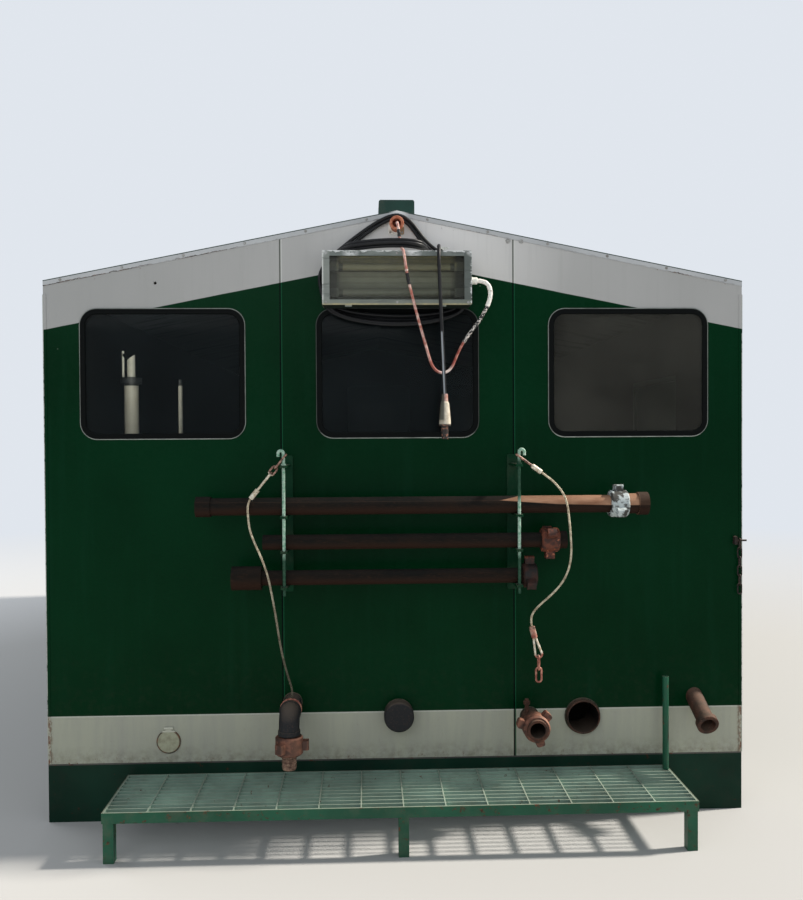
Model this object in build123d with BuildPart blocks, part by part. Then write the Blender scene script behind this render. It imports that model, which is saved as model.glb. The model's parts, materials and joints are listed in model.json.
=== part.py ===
from build123d import *
import os
from math import cos, pi, radians, sin, sqrt, tan

os.makedirs("parts", exist_ok=True)

# Steel pump house on a skid, in millimetres.
# The origin is on the ground under the middle of the plan, +Z is up and the front end faces -Y.
# Depths are measured out from the front wall's face and heights up from the top of the skid.

# Shell
sheet_width = 1219.2
sheet_names = ("left", "middle", "right")
sheets_along = 6
wall_height = 2507.0
ridge_rise = 365.0
wall_thickness = 60.0
roof_thickness = 60.0
seam_width = 5.0
seam_depth = 2.0

# Skid
skid_height = 305.0
floor_thickness = 8.0
channel_flange = 90.0
channel_web = 12.0
channel_lip = 14.0
cross_beam_count = 5
cross_beam_width = 120.0
cross_beam_web = 8.0

# Flashings and ridge
trim_thickness = 2.5
rake_depth = 27.0
rake_leg = 40.0
eave_depth = 70.0
corner_leg = 18.0
batten_width = 60.0
batten_thickness = 5.0
batten_clear = 6.0
ridge_cap_width = 188.0
ridge_cap_height = 68.0
ridge_cap_corner = 12.0
ridge_cap_foot = 16.0
ridge_cap_sheet = 3.0

# Windows
window_width = 846.0
window_height = 673.0
window_corner = 85.0
window_drop = 145.0
rubber_lip = 14.0
rubber_face = 28.0
rubber_proud = 8.0
glass_rebate = 8.0
glass_thickness = 6.0

# Fits
seat_gap = 0.3
rod_play = 0.6

# Side door
door_width = 860.0
door_height = 2030.0
door_from_corner = 914.0
door_thickness = 45.0
door_gap = 0.5
frame_bar = 35.0
frame_lip = 25.0
frame_proud = 4.0
hinge_radius = 11.0
hinge_length = 110.0
hinge_leaf = 4.0
hinge_count = 3
handle_height = 1020.0
handle_inset = 70.0
handle_plate = (46.0, 170.0, 8.0)
handle_plate_corner = 12.0
handle_rise = 30.0
handle_neck = 11.0
handle_reach = 50.0
lever_size = (130.0, 20.0, 12.0)

# Pipes behind the left window: place across and behind the front wall's face
riser_at = (-1530.0, 600.0)
riser_radius = 41.0
riser_flange_height = 2312.0
riser_flange = 34.0
riser_flange_radius = 60.0
riser_neck_radius = 23.0
riser_wall = 4.0
riser_top = 2486.0
riser_stud_at = (-1576.0, 600.0)
riser_stud_radius = 7.0
small_riser_at = (-1247.0, 600.0)
small_riser_radius = 12.5
small_riser_top = 2336.0

# Wall lamp
lamp_left = -383.0
lamp_width = 751.0
lamp_height = 272.0
lamp_drop = 245.0
lamp_stand_off = 70.0
lamp_depth = 205.0
lamp_sheet = 3.0
lamp_frame_side = 37.0
lamp_frame_top = 27.0
lamp_corner = 6.0
lamp_glass_back = 12.0
lamp_glass_thickness = 5.0
lamp_glass_margin = 12.0
trough_count = 3
trough_depth = 34.0
trough_sheet = 2.0
tube_radius = 19.0
tube_length = 590.0
tube_count = 2
bracket_width = 45.0
bracket_inset = 190.0
clip_places = (-252.0, 222.0)
clip_width = 34.0
clip_height = 9.0
clip_depth = 26.0

# Cable entries
nipple_x = -4.0
nipple_drop = 82.0
nipple_radius = 37.0
nipple_neck = 30.0
nipple_rim = 22.0
nipple_floor = 20.0
nipple_bore = 22.0
nipple_reach = 96.0
nipple_plate = 82.0
nipple_plate_thickness = 6.0
gland_rise = 136.0
gland_back = 36.0
gland_reach = 40.0
gland_radius = 18.0
lamp_cable_radius = 7.0
wall_gland_x = -150.0
wall_gland_rise = 75.0
wall_box_size = 56.0
wall_box_depth = 52.0
wall_gland_reach = 40.0
wall_gland_radius = 17.0

# Power cord
power_cord_radius = 9.0
coil_strands_deep = 3
coil_strands_wide = 2
coil_corner = 26.0
bundle_radius = 20.0
plug_length = 225.0

# Pipe rack
rack_places = (-581.0, 602.0)
rack_bar_width = 60.0
rack_bar_thickness = 8.0
rack_arm_width = 36.0
rack_arm_thickness = 12.0
rack_margin = 45.0
rod_radius = 8.0
rod_pipe_gap = 6.0
rod_hook_radius = 13.0
rod_hook_leg = 17.0
rod_collar = 8.0
eye_rise = 38.0
rod_tail = 45.0
guide_height = 1553.0
pipe_depth = 160.0

# Stored pipes: heights of the axes and the sizes of tube and ends
top_pipe_height = 1345.0
middle_pipe_height = 1163.0
bottom_pipe_height = 983.0
top_pipe_radius = 44.45
low_pipe_radius = 38.0
pipe_wall = 6.0
top_pipe_ends = (-1026.0, 1271.0)
top_pipe_hub = 104.0
top_pipe_socket = 75.0
socket_rise = 7.0
middle_pipe_ends = (-692.0, 852.0)
middle_pipe_hub = 39.0
bottom_pipe_ends = (-849.0, 697.0)
bottom_pipe_sleeve = 150.0
sleeve_rise = 22.0

# Hammer union wing nuts
nut_length = 92.0
short_nut_length = 72.0
nut_wall = 24.0
nut_chamfer = 7.0
lug_reach = 98.0
lug_width = 44.0
lug_length = 46.0
lug_count = 3

# Pipe stubs through the front wall
union_at = (688.0, 209.0)
union_reach = 250.0
union_pipe_radius = 44.45
union_collar = 18.0
union_collar_rise = 8.0
suction_at = (971.0, 207.0)
suction_radius = 88.9
suction_wall = 8.0
suction_reach = 32.0
side_stub_at = (1572.0, 300.0)
side_stub_radius = 44.45
side_stub_reach = 228.0
side_stub_dip = 24.0
side_collar_radius = 56.0
side_collar_length = 34.0
blank_at = (-5.0, 236.0)
blank_radius = 70.0
blank_reach = 84.0
blank_cap_length = 66.0
blank_cap_wall = 8.0
valve_at = (664.0, 60.0)
valve_radius = 11.0
valve_height = 318.0
elbow_at = (-560.0, 305.0)
elbow_reach = 250.0
elbow_radius = 44.45
elbow_bend = 70.0
elbow_jacket = 7.0
elbow_band = 20.0
elbow_band_rise = 4.0
elbow_nut_height = 208.0
elbow_seat = 14.0
elbow_tail_foot = 41.0
elbow_tail_radius = 33.0
barb_count = 4
barb_pitch = 19.0
barb_height = 4.0
cover_at = (-1207.0, 109.0)
cover_radius = 62.0
cover_thickness = 9.0
cover_hinge_radius = 7.0
cover_hinge_length = 46.0
cover_hinge_leaf = 28.0
stub_wall = 6.0
stub_inside = 120.0
vent_hole_at = (-1255.0, 2496.0)
vent_hole_radius = 8.0

# Porch
porch_half_width = 1420.0
porch_depth = 500.0
porch_drop = 63.0
porch_rail = 50.0
porch_rail_sheet = 5.0
grating_height = 30.0
grating_bar = 6.0
grating_pitch = 42.0
grating_cross_pitch = 200.0
leg_size = 50.0
post_radius = 16.0
post_top = 426.0
post_depth = 60.0

# Corner chain
chain_height = 1133.0
chain_inset = 18.0
link_count = 6
link_wire = 3.5
link_inner_length = 48.0
link_inner_width = 14.0
chain_bar_radius = 5.0

# Wire rope slings
rope_radius = 5.5
ferrule_radius = 12.0
ferrule_length = 58.0
eye_half_width = 19.0
eye_back = 23.0
eye_bend = 17.0
sling_link_wire = 5.0
sling_link_lengths = (78.0, 40.0)
sling_link_width = 24.0
hanging_link_length = 62.0
hanging_link_width = 17.0
ring_depth = 130.0
ring_wire = 6.0

building_width = sheet_width * len(sheet_names)
building_length = sheet_width * sheets_along
half_width = building_width / 2
half_length = building_length / 2
eave_height = skid_height + wall_height
ridge_height = eave_height + ridge_rise
lamp_top = wall_height + ridge_rise - lamp_drop
lamp_foot = lamp_top - lamp_height
lamp_right = lamp_left + lamp_width
nipple_at = (nipple_x, wall_height + ridge_rise - nipple_drop)
gland_height = lamp_foot + gland_rise
wall_gland_at = (wall_gland_x, lamp_foot + wall_gland_rise)
beam_depth = skid_height - floor_thickness
rear_inside = half_length - wall_thickness
window_top = eave_height - window_drop
window_middle = window_top - window_height / 2
opening_width = window_width - 2 * rubber_lip
opening_height = window_height - 2 * rubber_lip
opening_corner = window_corner - rubber_lip
window_centres = [-half_width + sheet_width * (index + 0.5) for index in range(len(sheet_names))]
seams = [-half_width + sheet_width * index for index in range(1, len(sheet_names))]


# Height of the roof's upper face at a distance from the ridge line.
def roof_top(x):
    return ridge_height - ridge_rise * abs(x) / half_width


# Height above the ground of something measured from the top of the skid.
def above(height):
    return skid_height + height


# Point in front of the front wall.
def point(x, depth, height):
    return (x, -half_length - depth, above(height))


# Plane on an end wall's face, a distance out from it. Side is -1 at the front and 1 at the rear.
def end_plane(side, out=0.0):
    return Plane(origin=(0, side * (half_length + out), 0), x_dir=(-side, 0, 0), z_dir=(0, side, 0))


# Cylinder axis standing out from the front wall, starting at a depth.
def outward(at, depth=0.0):
    return Plane(origin=point(at[0], depth, at[1]), x_dir=(1, 0, 0), z_dir=(0, -1, 0))


def save(piece, name):
    piece.part.label = name
    export_step(piece.part, f"parts/{name}.step")


# Skid: two channels along the sides, two across the ends and joists between them.
with BuildPart() as skid_beams:
    with BuildSketch(Plane.XZ):
        for side in (-1, 1):
            with Locations((side * (half_width - channel_flange / 2), beam_depth / 2)):
                Rectangle(channel_flange, beam_depth)
            with Locations((side * (half_width - (channel_flange - channel_web) / 2), beam_depth / 2)):
                Rectangle(channel_flange - channel_web, beam_depth - 2 * channel_lip, mode=Mode.SUBTRACT)
    extrude(amount=half_length - channel_flange, both=True)
save(skid_beams, "skid_beams")

with BuildPart() as skid_ends:
    with BuildSketch(Plane.YZ):
        for side in (-1, 1):
            with Locations((side * (half_length - channel_flange / 2), beam_depth / 2)):
                Rectangle(channel_flange, beam_depth)
            with Locations((side * (half_length - (channel_flange + channel_web) / 2), beam_depth / 2)):
                Rectangle(channel_flange - channel_web, beam_depth - 2 * channel_lip, mode=Mode.SUBTRACT)
    extrude(amount=half_width, both=True)
save(skid_ends, "skid_ends")

joist_spacing = (building_length - 2 * channel_flange) / (cross_beam_count + 1)
with BuildPart() as skid_cross_beams:
    with BuildSketch(Plane.YZ):
        with Locations((0, beam_depth / 2)):
            with GridLocations(joist_spacing, 1, cross_beam_count, 1):
                Rectangle(cross_beam_width, beam_depth)
                with Locations(
                    (-(cross_beam_width + cross_beam_web) / 4, 0),
                    ((cross_beam_width + cross_beam_web) / 4, 0),
                ):
                    Rectangle(
                        (cross_beam_width - cross_beam_web) / 2,
                        beam_depth - 2 * channel_lip,
                        mode=Mode.SUBTRACT,
                    )
    extrude(amount=half_width - channel_flange, both=True)
save(skid_cross_beams, "skid_cross_beams")

with BuildPart() as floor_plate:
    with BuildSketch(Plane.XY.offset(beam_depth)):
        Rectangle(building_width, building_length)
    extrude(amount=floor_thickness)
save(floor_plate, "floor_plate")

# Holes in the front wall: place, and radius with the seat's clearance.
front_holes = (
    (union_at, union_pipe_radius + seat_gap),
    (suction_at, suction_radius + seat_gap),
    (blank_at, blank_radius + seat_gap),
    (elbow_at, elbow_radius + seat_gap),
    (vent_hole_at, vent_hole_radius),
)


# The side stub dips as it comes out, so its axis and its hole through the wall are inclined.
side_stub_plane = Plane(
    origin=point(side_stub_at[0], 0, side_stub_at[1]),
    x_dir=(1, 0, 0),
    z_dir=(0, -cos(radians(side_stub_dip)), -sin(radians(side_stub_dip))),
)


# A stretch of end wall with its windows cut through, from one x to another.
def end_wall(side, left, right):
    outline = [(left, skid_height), (right, skid_height), (right, roof_top(right))]
    if left < 0 < right:
        outline.append((0, ridge_height))
    outline.append((left, roof_top(left)))
    with BuildPart() as wall:
        with BuildSketch(end_plane(side)):
            with BuildLine():
                Polyline(*outline, close=True)
            make_face()
            for x in window_centres:
                if left < x < right:
                    with Locations((x, window_middle)):
                        RectangleRounded(opening_width, opening_height, opening_corner, mode=Mode.SUBTRACT)
            if side < 0:
                for at, radius in front_holes:
                    if left < at[0] < right:
                        with Locations((at[0], above(at[1]))):
                            Circle(radius, mode=Mode.SUBTRACT)
        extrude(amount=-wall_thickness)
        # A fine groove marks each joint between sheets.
        with BuildSketch(end_plane(side)):
            for seam in seams:
                if left <= seam <= right:
                    with Locations((seam, (skid_height + ridge_height) / 2)):
                        Rectangle(seam_width, ridge_height - skid_height + 1)
        extrude(amount=-seam_depth, mode=Mode.SUBTRACT)
        if side < 0 and left < side_stub_at[0] < right:
            with BuildSketch(side_stub_plane):
                Circle(side_stub_radius + seat_gap)
            extrude(amount=2 * wall_thickness, both=True, mode=Mode.SUBTRACT)
    return wall


for index, sheet_name in enumerate(sheet_names):
    left = -half_width + index * sheet_width
    save(end_wall(-1, left, left + sheet_width), f"front_wall_{sheet_name}")
save(end_wall(1, -half_width, half_width), "rear_wall")

# Side walls: plain sheets with a groove at each joint. The right one has the doorway.
door_front = -half_length + door_from_corner
door_middle = door_front + door_width / 2
doorway_width = door_width + 2 * (frame_bar + door_gap)
doorway_height = door_height + frame_bar + 2 * door_gap


def side_wall(side):
    inner = half_width - wall_thickness
    top_inner = roof_top(inner) - roof_thickness
    top_outer = roof_top(half_width) - roof_thickness
    with BuildPart() as wall:
        with BuildSketch(Plane.XZ):
            with BuildLine():
                Polyline(
                    (side * inner, skid_height),
                    (side * half_width, skid_height),
                    (side * half_width, top_outer),
                    (side * inner, top_inner),
                    close=True,
                )
            make_face()
        extrude(amount=rear_inside, both=True)
        with BuildSketch(Plane.XY.offset(skid_height)):
            with Locations((side * half_width, 0)):
                with GridLocations(1, sheet_width, 1, sheets_along - 1):
                    Rectangle(2 * seam_depth, seam_width)
        extrude(amount=wall_height, mode=Mode.SUBTRACT)
        if side > 0:
            with BuildSketch(Plane.YZ.offset(inner)):
                with Locations((door_middle, skid_height + doorway_height / 2)):
                    Rectangle(doorway_width, doorway_height)
            extrude(amount=wall_thickness, mode=Mode.SUBTRACT)
    return wall


save(side_wall(-1), "left_wall")
save(side_wall(1), "right_wall")

# Door on the right side, shut: frame, leaf, hinges and lever.
door_outer = half_width
with BuildPart() as door_frame:
    with BuildSketch(Plane.YZ.offset(half_width - wall_thickness)):
        with Locations((door_middle, skid_height + doorway_height / 2)):
            Rectangle(doorway_width - 2 * seat_gap, doorway_height - 2 * seat_gap)
        with Locations((door_middle, skid_height + (door_height + door_gap) / 2)):
            Rectangle(door_width + 2 * door_gap, door_height + door_gap, mode=Mode.SUBTRACT)
    extrude(amount=wall_thickness)
    with BuildSketch(Plane.YZ.offset(half_width)):
        with Locations((door_middle, skid_height + (doorway_height + frame_lip) / 2)):
            Rectangle(doorway_width + 2 * frame_lip, doorway_height + frame_lip)
        with Locations((door_middle, skid_height + (door_height + door_gap) / 2)):
            Rectangle(door_width + 2 * door_gap, door_height + door_gap, mode=Mode.SUBTRACT)
    extrude(amount=frame_proud)
save(door_frame, "door_frame")

with BuildPart() as side_door:
    with BuildSketch(Plane.YZ.offset(door_outer - door_thickness)):
        with Locations((door_middle, skid_height + seat_gap + (door_height - seat_gap) / 2)):
            Rectangle(door_width, door_height - seat_gap)
    extrude(amount=door_thickness)
    fillet(side_door.faces().sort_by(Axis.X)[-1].edges(), 3)
save(side_door, "side_door")

hinge_rise = door_height / hinge_count
lever_at = door_front + door_width - handle_inset
lever_height = above(handle_height) + handle_rise
with BuildPart() as door_hardware:
    for step in range(hinge_count):
        middle = skid_height + hinge_rise * (step + 0.5)
        pin_plane = Plane.XY.offset(middle - hinge_length / 2)
        with BuildSketch(pin_plane):
            with Locations((door_outer + frame_proud + hinge_radius, door_front - door_gap)):
                Circle(hinge_radius)
            with Locations((door_outer + frame_proud + hinge_leaf / 2 + seat_gap, door_front - frame_bar / 2)):
                Rectangle(hinge_leaf, frame_bar)
        extrude(amount=hinge_length)
    with BuildSketch(Plane.YZ.offset(door_outer + seat_gap)):
        with Locations((lever_at, above(handle_height))):
            RectangleRounded(handle_plate[0], handle_plate[1], handle_plate_corner)
    extrude(amount=handle_plate[2])
    with BuildSketch(Plane.YZ.offset(door_outer + handle_plate[2])):
        with Locations((lever_at, lever_height)):
            Circle(handle_neck)
    extrude(amount=handle_reach - handle_plate[2])
    with BuildSketch(Plane.YZ.offset(door_outer + handle_reach)):
        with Locations((lever_at - lever_size[0] / 2 + lever_size[1] / 2, lever_height)):
            SlotOverall(lever_size[0], lever_size[1])
    extrude(amount=-lever_size[2])
save(door_hardware, "door_hardware")

# Roof: one insulated slab a side between the end walls, meeting at the ridge.
for side, name in ((-1, "roof_left"), (1, "roof_right")):
    with BuildPart() as roof:
        with BuildSketch(Plane.XZ):
            with BuildLine():
                Polyline(
                    (0, ridge_height),
                    (side * half_width, eave_height),
                    (side * half_width, eave_height - roof_thickness),
                    (0, ridge_height - roof_thickness),
                    close=True,
                )
            make_face()
        extrude(amount=rear_inside, both=True)
    save(roof, name)

# Folded flashing over each gable, with a face leg on the wall and a top leg on the roof,
# and drip flashing along each eave.
eave_run = half_length - rake_leg - seat_gap
with BuildPart() as roof_trims:
    for side in (-1, 1):
        with BuildSketch(end_plane(side)):
            with BuildLine():
                Polyline(
                    (-half_width, eave_height - rake_depth),
                    (0, ridge_height - rake_depth),
                    (half_width, eave_height - rake_depth),
                    (half_width, eave_height + trim_thickness),
                    (0, ridge_height + trim_thickness),
                    (-half_width, eave_height + trim_thickness),
                    close=True,
                )
            make_face()
        extrude(amount=trim_thickness)
        with BuildSketch(end_plane(side)):
            with BuildLine():
                Polyline(
                    (-half_width, eave_height),
                    (0, ridge_height),
                    (half_width, eave_height),
                    (half_width, eave_height + trim_thickness),
                    (0, ridge_height + trim_thickness),
                    (-half_width, eave_height + trim_thickness),
                    close=True,
                )
            make_face()
        extrude(amount=-rake_leg)
    for side in (-1, 1):
        inner = half_width - rake_leg
        with BuildSketch(Plane.XZ):
            with BuildLine():
                Polyline(
                    (side * inner, roof_top(inner)),
                    (side * half_width, eave_height),
                    (side * half_width, eave_height - eave_depth),
                    (side * (half_width + trim_thickness), eave_height - eave_depth),
                    (side * (half_width + trim_thickness), eave_height + trim_thickness),
                    (side * inner, roof_top(inner) + trim_thickness),
                    close=True,
                )
            make_face()
        extrude(amount=eave_run, both=True)
save(roof_trims, "roof_trims")

# Battens cover the joints between the roof's sheets.
batten_inner = ridge_cap_width / 2 + ridge_cap_foot + batten_clear
batten_outer = half_width - rake_leg - batten_clear
batten_planes = [Plane.XZ.offset((step - sheets_along / 2) * sheet_width) for step in range(1, sheets_along)]
with BuildPart() as roof_battens:
    with BuildSketch(*batten_planes):
        for side in (-1, 1):
            with BuildLine():
                Polyline(
                    (side * batten_inner, roof_top(batten_inner) + seat_gap),
                    (side * batten_outer, roof_top(batten_outer) + seat_gap),
                    (side * batten_outer, roof_top(batten_outer) + batten_thickness),
                    (side * batten_inner, roof_top(batten_inner) + batten_thickness),
                    close=True,
                )
            make_face()
    extrude(amount=batten_width / 2, both=True)
save(roof_battens, "roof_battens")

# Corner angles up the four corners, below the roof's flashings.
corner_top = eave_height - eave_depth - seat_gap
with BuildPart() as corner_trims:
    with BuildSketch(Plane.XY.offset(skid_height)):
        for side_x in (-1, 1):
            for side_y in (-1, 1):
                corner = (side_x * (half_width + trim_thickness), side_y * (half_length + trim_thickness))
                with Locations((corner[0] - side_x * corner_leg / 2, corner[1] - side_y * trim_thickness / 2)):
                    Rectangle(corner_leg, trim_thickness)
                with Locations((corner[0] - side_x * trim_thickness / 2, corner[1] - side_y * corner_leg / 2)):
                    Rectangle(trim_thickness, corner_leg)
    extrude(amount=corner_top - skid_height)
save(corner_trims, "corner_trims")


# Outline of the ridge cap, moved inwards by a sheet's thickness for its hollow.
def ridge_outline(inset):
    half = ridge_cap_width / 2 - inset
    top = ridge_height + ridge_cap_height - inset
    return Polyline(
        (-half, roof_top(half)),
        (-half, top),
        (half, top),
        (half, roof_top(half)),
        (0, ridge_height),
        close=True,
    )


ridge_cap_half = half_length - rake_leg - seat_gap
with BuildPart() as ridge_cap:
    with BuildSketch(Plane.XZ):
        with BuildLine():
            ridge_outline(0)
        make_face()
        for side in (-1, 1):
            near = ridge_cap_width / 2
            far = near + ridge_cap_foot
            with BuildLine():
                Polyline(
                    (side * near, roof_top(near)),
                    (side * far, roof_top(far)),
                    (side * far, roof_top(far) + ridge_cap_sheet),
                    (side * near, roof_top(near) + ridge_cap_sheet),
                    close=True,
                )
            make_face()
    extrude(amount=ridge_cap_half, both=True)
    top_edges = ridge_cap.faces().sort_by(Axis.Z)[-1].edges().filter_by(Axis.Y)
    fillet(top_edges, ridge_cap_corner)
    with BuildSketch(Plane.XZ):
        with BuildLine():
            ridge_outline(ridge_cap_sheet)
        make_face()
    extrude(amount=ridge_cap_half - ridge_cap_sheet, both=True, mode=Mode.SUBTRACT)
save(ridge_cap, "ridge_cap")

# Windows: rubber surrounds with a face lip and a liner, and the panes they hold.
sight_width = window_width - 2 * rubber_face
sight_height = window_height - 2 * rubber_face
sight_corner = window_corner - rubber_face
pane_width = sight_width + 2 * glass_rebate
pane_height = sight_height + 2 * glass_rebate
pane_corner = sight_corner + glass_rebate


def window_places():
    return Locations(*[(x, window_middle) for x in window_centres])


for side, end in ((-1, "front"), (1, "rear")):
    with BuildPart() as rubbers:
        with BuildSketch(end_plane(side, seat_gap)):
            with window_places():
                RectangleRounded(window_width, window_height, window_corner)
                RectangleRounded(sight_width, sight_height, sight_corner, mode=Mode.SUBTRACT)
        extrude(amount=rubber_proud)
        fillet(rubbers.faces().group_by(Axis.Y)[0 if side < 0 else -1].edges(), rubber_proud * 0.7)
        with BuildSketch(end_plane(side, seat_gap)):
            with window_places():
                RectangleRounded(
                    opening_width - 2 * seat_gap, opening_height - 2 * seat_gap, opening_corner - seat_gap
                )
                RectangleRounded(
                    pane_width + 2 * seat_gap,
                    pane_height + 2 * seat_gap,
                    pane_corner + seat_gap,
                    mode=Mode.SUBTRACT,
                )
        extrude(amount=-wall_thickness)
    save(rubbers, f"{end}_window_rubbers")
    with BuildPart() as panes:
        with BuildSketch(end_plane(side)):
            with window_places():
                RectangleRounded(pane_width, pane_height, pane_corner)
        extrude(amount=-glass_thickness)
    save(panes, f"{end}_window_glass")

# Pipes that stand on the floor behind the left window: a flanged riser with a mitred top, and a thin one.
riser_foot = skid_height
with BuildPart() as inside_pipes:
    for at, start, stop, radius in (
        (riser_at, riser_foot, riser_flange_height, riser_radius),
        (riser_at, riser_foot, riser_foot + riser_flange, riser_flange_radius),
        (riser_at, riser_flange_height, riser_flange_height + riser_flange, riser_flange_radius),
        (riser_at, riser_flange_height, riser_top, riser_neck_radius),
        (small_riser_at, riser_foot, small_riser_top, small_riser_radius),
        (small_riser_at, riser_foot, riser_foot + riser_flange, 2 * small_riser_radius),
        (riser_stud_at, riser_flange_height, riser_top + riser_flange / 2, riser_stud_radius),
    ):
        with BuildSketch(Plane(origin=(at[0], -half_length + at[1], start), z_dir=(0, 0, 1))):
            Circle(radius)
        extrude(amount=stop - start)
    mitre = Plane(
        origin=(riser_at[0], -half_length + riser_at[1], riser_top - riser_neck_radius), z_dir=(-0.6, 0, 0.8)
    )
    with BuildSketch(mitre):
        Circle(1.4 * riser_neck_radius)
    extrude(amount=2 * riser_neck_radius, mode=Mode.SUBTRACT)
    with BuildSketch(Plane(origin=(riser_at[0], -half_length + riser_at[1], riser_flange_height), z_dir=(0, 0, 1))):
        Circle(riser_neck_radius - riser_wall)
    extrude(amount=riser_top - riser_flange_height, mode=Mode.SUBTRACT)
save(inside_pipes, "inside_pipes")

# Wall lamp: a shell open at the front, a troughed reflector, two tubes and a glass.
lamp_centre = ((lamp_left + lamp_right) / 2, (lamp_foot + lamp_top) / 2)
lamp_back_plane = outward(lamp_centre, lamp_stand_off)
lamp_body_depth = lamp_depth - lamp_stand_off
lamp_open_width = lamp_width - 2 * lamp_frame_side
lamp_open_height = lamp_height - 2 * lamp_frame_top
with BuildPart() as lamp_housing:
    with BuildSketch(lamp_back_plane):
        RectangleRounded(lamp_width, lamp_height, lamp_corner)
    extrude(amount=lamp_body_depth)
    with BuildSketch(lamp_back_plane.offset(lamp_sheet)):
        Rectangle(lamp_width - 2 * lamp_sheet, lamp_height - 2 * lamp_sheet)
    extrude(amount=lamp_body_depth - 2 * lamp_sheet, mode=Mode.SUBTRACT)
    with BuildSketch(lamp_back_plane.offset(lamp_body_depth - lamp_sheet)):
        Rectangle(lamp_open_width, lamp_open_height)
    extrude(amount=lamp_sheet, mode=Mode.SUBTRACT)
    # A return flange behind the frame holds the glass.
    with BuildSketch(lamp_back_plane.offset(lamp_body_depth - lamp_glass_back)):
        Rectangle(lamp_width - 2 * lamp_sheet, lamp_height - 2 * lamp_sheet)
        Rectangle(lamp_open_width, lamp_open_height, mode=Mode.SUBTRACT)
    extrude(amount=lamp_glass_back - lamp_sheet)
    # Two clips under the front edge hold the glass frame.
    with BuildSketch(outward((0, lamp_foot - clip_height / 2), lamp_depth - clip_depth)):
        with Locations(*[(x, 0) for x in clip_places]):
            Rectangle(clip_width, clip_height)
    extrude(amount=clip_depth)
save(lamp_housing, "lamp_housing")

with BuildPart() as lamp_glass:
    with BuildSketch(lamp_back_plane.offset(lamp_body_depth - lamp_glass_back - seat_gap)):
        Rectangle(lamp_open_width + lamp_glass_margin, lamp_open_height + lamp_glass_margin)
    extrude(amount=-lamp_glass_thickness)
save(lamp_glass, "lamp_glass")

# Reflector: a row of shallow troughs pressed in one sheet, with sockets at the tubes' ends.
reflector_height = lamp_height - 2 * lamp_sheet - 2 * seat_gap
reflector_width = lamp_width - 2 * lamp_sheet - 2 * seat_gap
trough_height = reflector_height / trough_count
reflector_back = lamp_stand_off + lamp_sheet + seat_gap
tube_pitch = reflector_height / tube_count
tube_depth = reflector_back + trough_depth + tube_radius + seat_gap
tube_heights = [lamp_centre[1] + (step - (tube_count - 1) / 2) * tube_pitch for step in range(tube_count)]
socket_span = (reflector_width - tube_length) / 2
with BuildPart() as lamp_reflector:
    with BuildSketch(Plane.YZ.offset(lamp_centre[0])):
        with BuildLine():
            low = above(lamp_centre[1]) - reflector_height / 2
            edge = -half_length - reflector_back - trough_depth
            for step in range(trough_count):
                start = (edge, low + step * trough_height)
                end = (edge, low + (step + 1) * trough_height)
                deep = (edge + trough_depth - trough_sheet, low + (step + 0.5) * trough_height)
                ThreePointArc(start, deep, end)
            top = low + reflector_height
            Polyline(
                (edge, top),
                (edge + trough_depth, top),
                (edge + trough_depth, low),
                (edge, low),
            )
        make_face()
    extrude(amount=reflector_width / 2, both=True)
    for height in tube_heights:
        for side in (-1, 1):
            place = point(lamp_centre[0] + side * (tube_length / 2 + seat_gap), tube_depth, height)
            with BuildSketch(Plane(origin=place, x_dir=(0, 1, 0), z_dir=(side, 0, 0))):
                Rectangle(2 * tube_radius + 2, 2 * tube_radius + 8)
            extrude(amount=socket_span - seat_gap)
save(lamp_reflector, "lamp_reflector")

with BuildPart() as lamp_tubes:
    for height in tube_heights:
        middle = point(lamp_centre[0], tube_depth, height)
        with BuildSketch(Plane(origin=middle, x_dir=(0, 1, 0), z_dir=(1, 0, 0))):
            Circle(tube_radius)
        extrude(amount=tube_length / 2, both=True)
save(lamp_tubes, "lamp_tubes")

with BuildPart() as lamp_brackets:
    with BuildSketch(outward(lamp_centre)):
        with Locations(
            (-(lamp_width / 2 - bracket_inset), lamp_height / 4), (lamp_width / 2 - bracket_inset, lamp_height / 4)
        ):
            Rectangle(bracket_width, lamp_height / 2 - 12)
            Rectangle(bracket_width - 10, lamp_height / 2 - 12 - 10, mode=Mode.SUBTRACT)
    extrude(amount=lamp_stand_off)
save(lamp_brackets, "lamp_brackets")

# Cable glands: one on the lamp's right side and one on a box on the wall behind the lamp.
gland_depth = lamp_stand_off + gland_back
gland_start = point(lamp_right, gland_depth, gland_height)
with BuildPart() as cable_glands:
    with BuildSketch(Plane(origin=gland_start, x_dir=(0, 1, 0), z_dir=(1, 0, 0))):
        RegularPolygon(gland_radius + 4, 6)
        Circle(lamp_cable_radius + seat_gap, mode=Mode.SUBTRACT)
    extrude(amount=gland_reach / 3)
    with BuildSketch(Plane(origin=gland_start, x_dir=(0, 1, 0), z_dir=(1, 0, 0)).offset(gland_reach / 3)):
        Circle(gland_radius)
        Circle(lamp_cable_radius + seat_gap, mode=Mode.SUBTRACT)
    extrude(amount=2 * gland_reach / 3)
    fillet(cable_glands.faces().sort_by(Axis.X)[-1].edges().sort_by(SortBy.LENGTH)[-1], 5)
    # A small box behind the lamp, with its gland on the left so that the cord lies along the wall.
    with BuildSketch(outward(wall_gland_at)):
        RectangleRounded(wall_box_size, wall_box_size, 6)
    extrude(amount=wall_box_depth)
    side_gland = Plane(
        origin=point(wall_gland_at[0] - wall_box_size / 2, wall_box_depth / 2, wall_gland_at[1]),
        x_dir=(0, 1, 0),
        z_dir=(-1, 0, 0),
    )
    with BuildSketch(side_gland):
        RegularPolygon(wall_gland_radius + 4, 6)
    extrude(amount=wall_gland_reach / 3)
    with BuildSketch(side_gland.offset(wall_gland_reach / 3)):
        Circle(wall_gland_radius)
    extrude(amount=2 * wall_gland_reach / 3)
save(cable_glands, "cable_glands")

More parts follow.
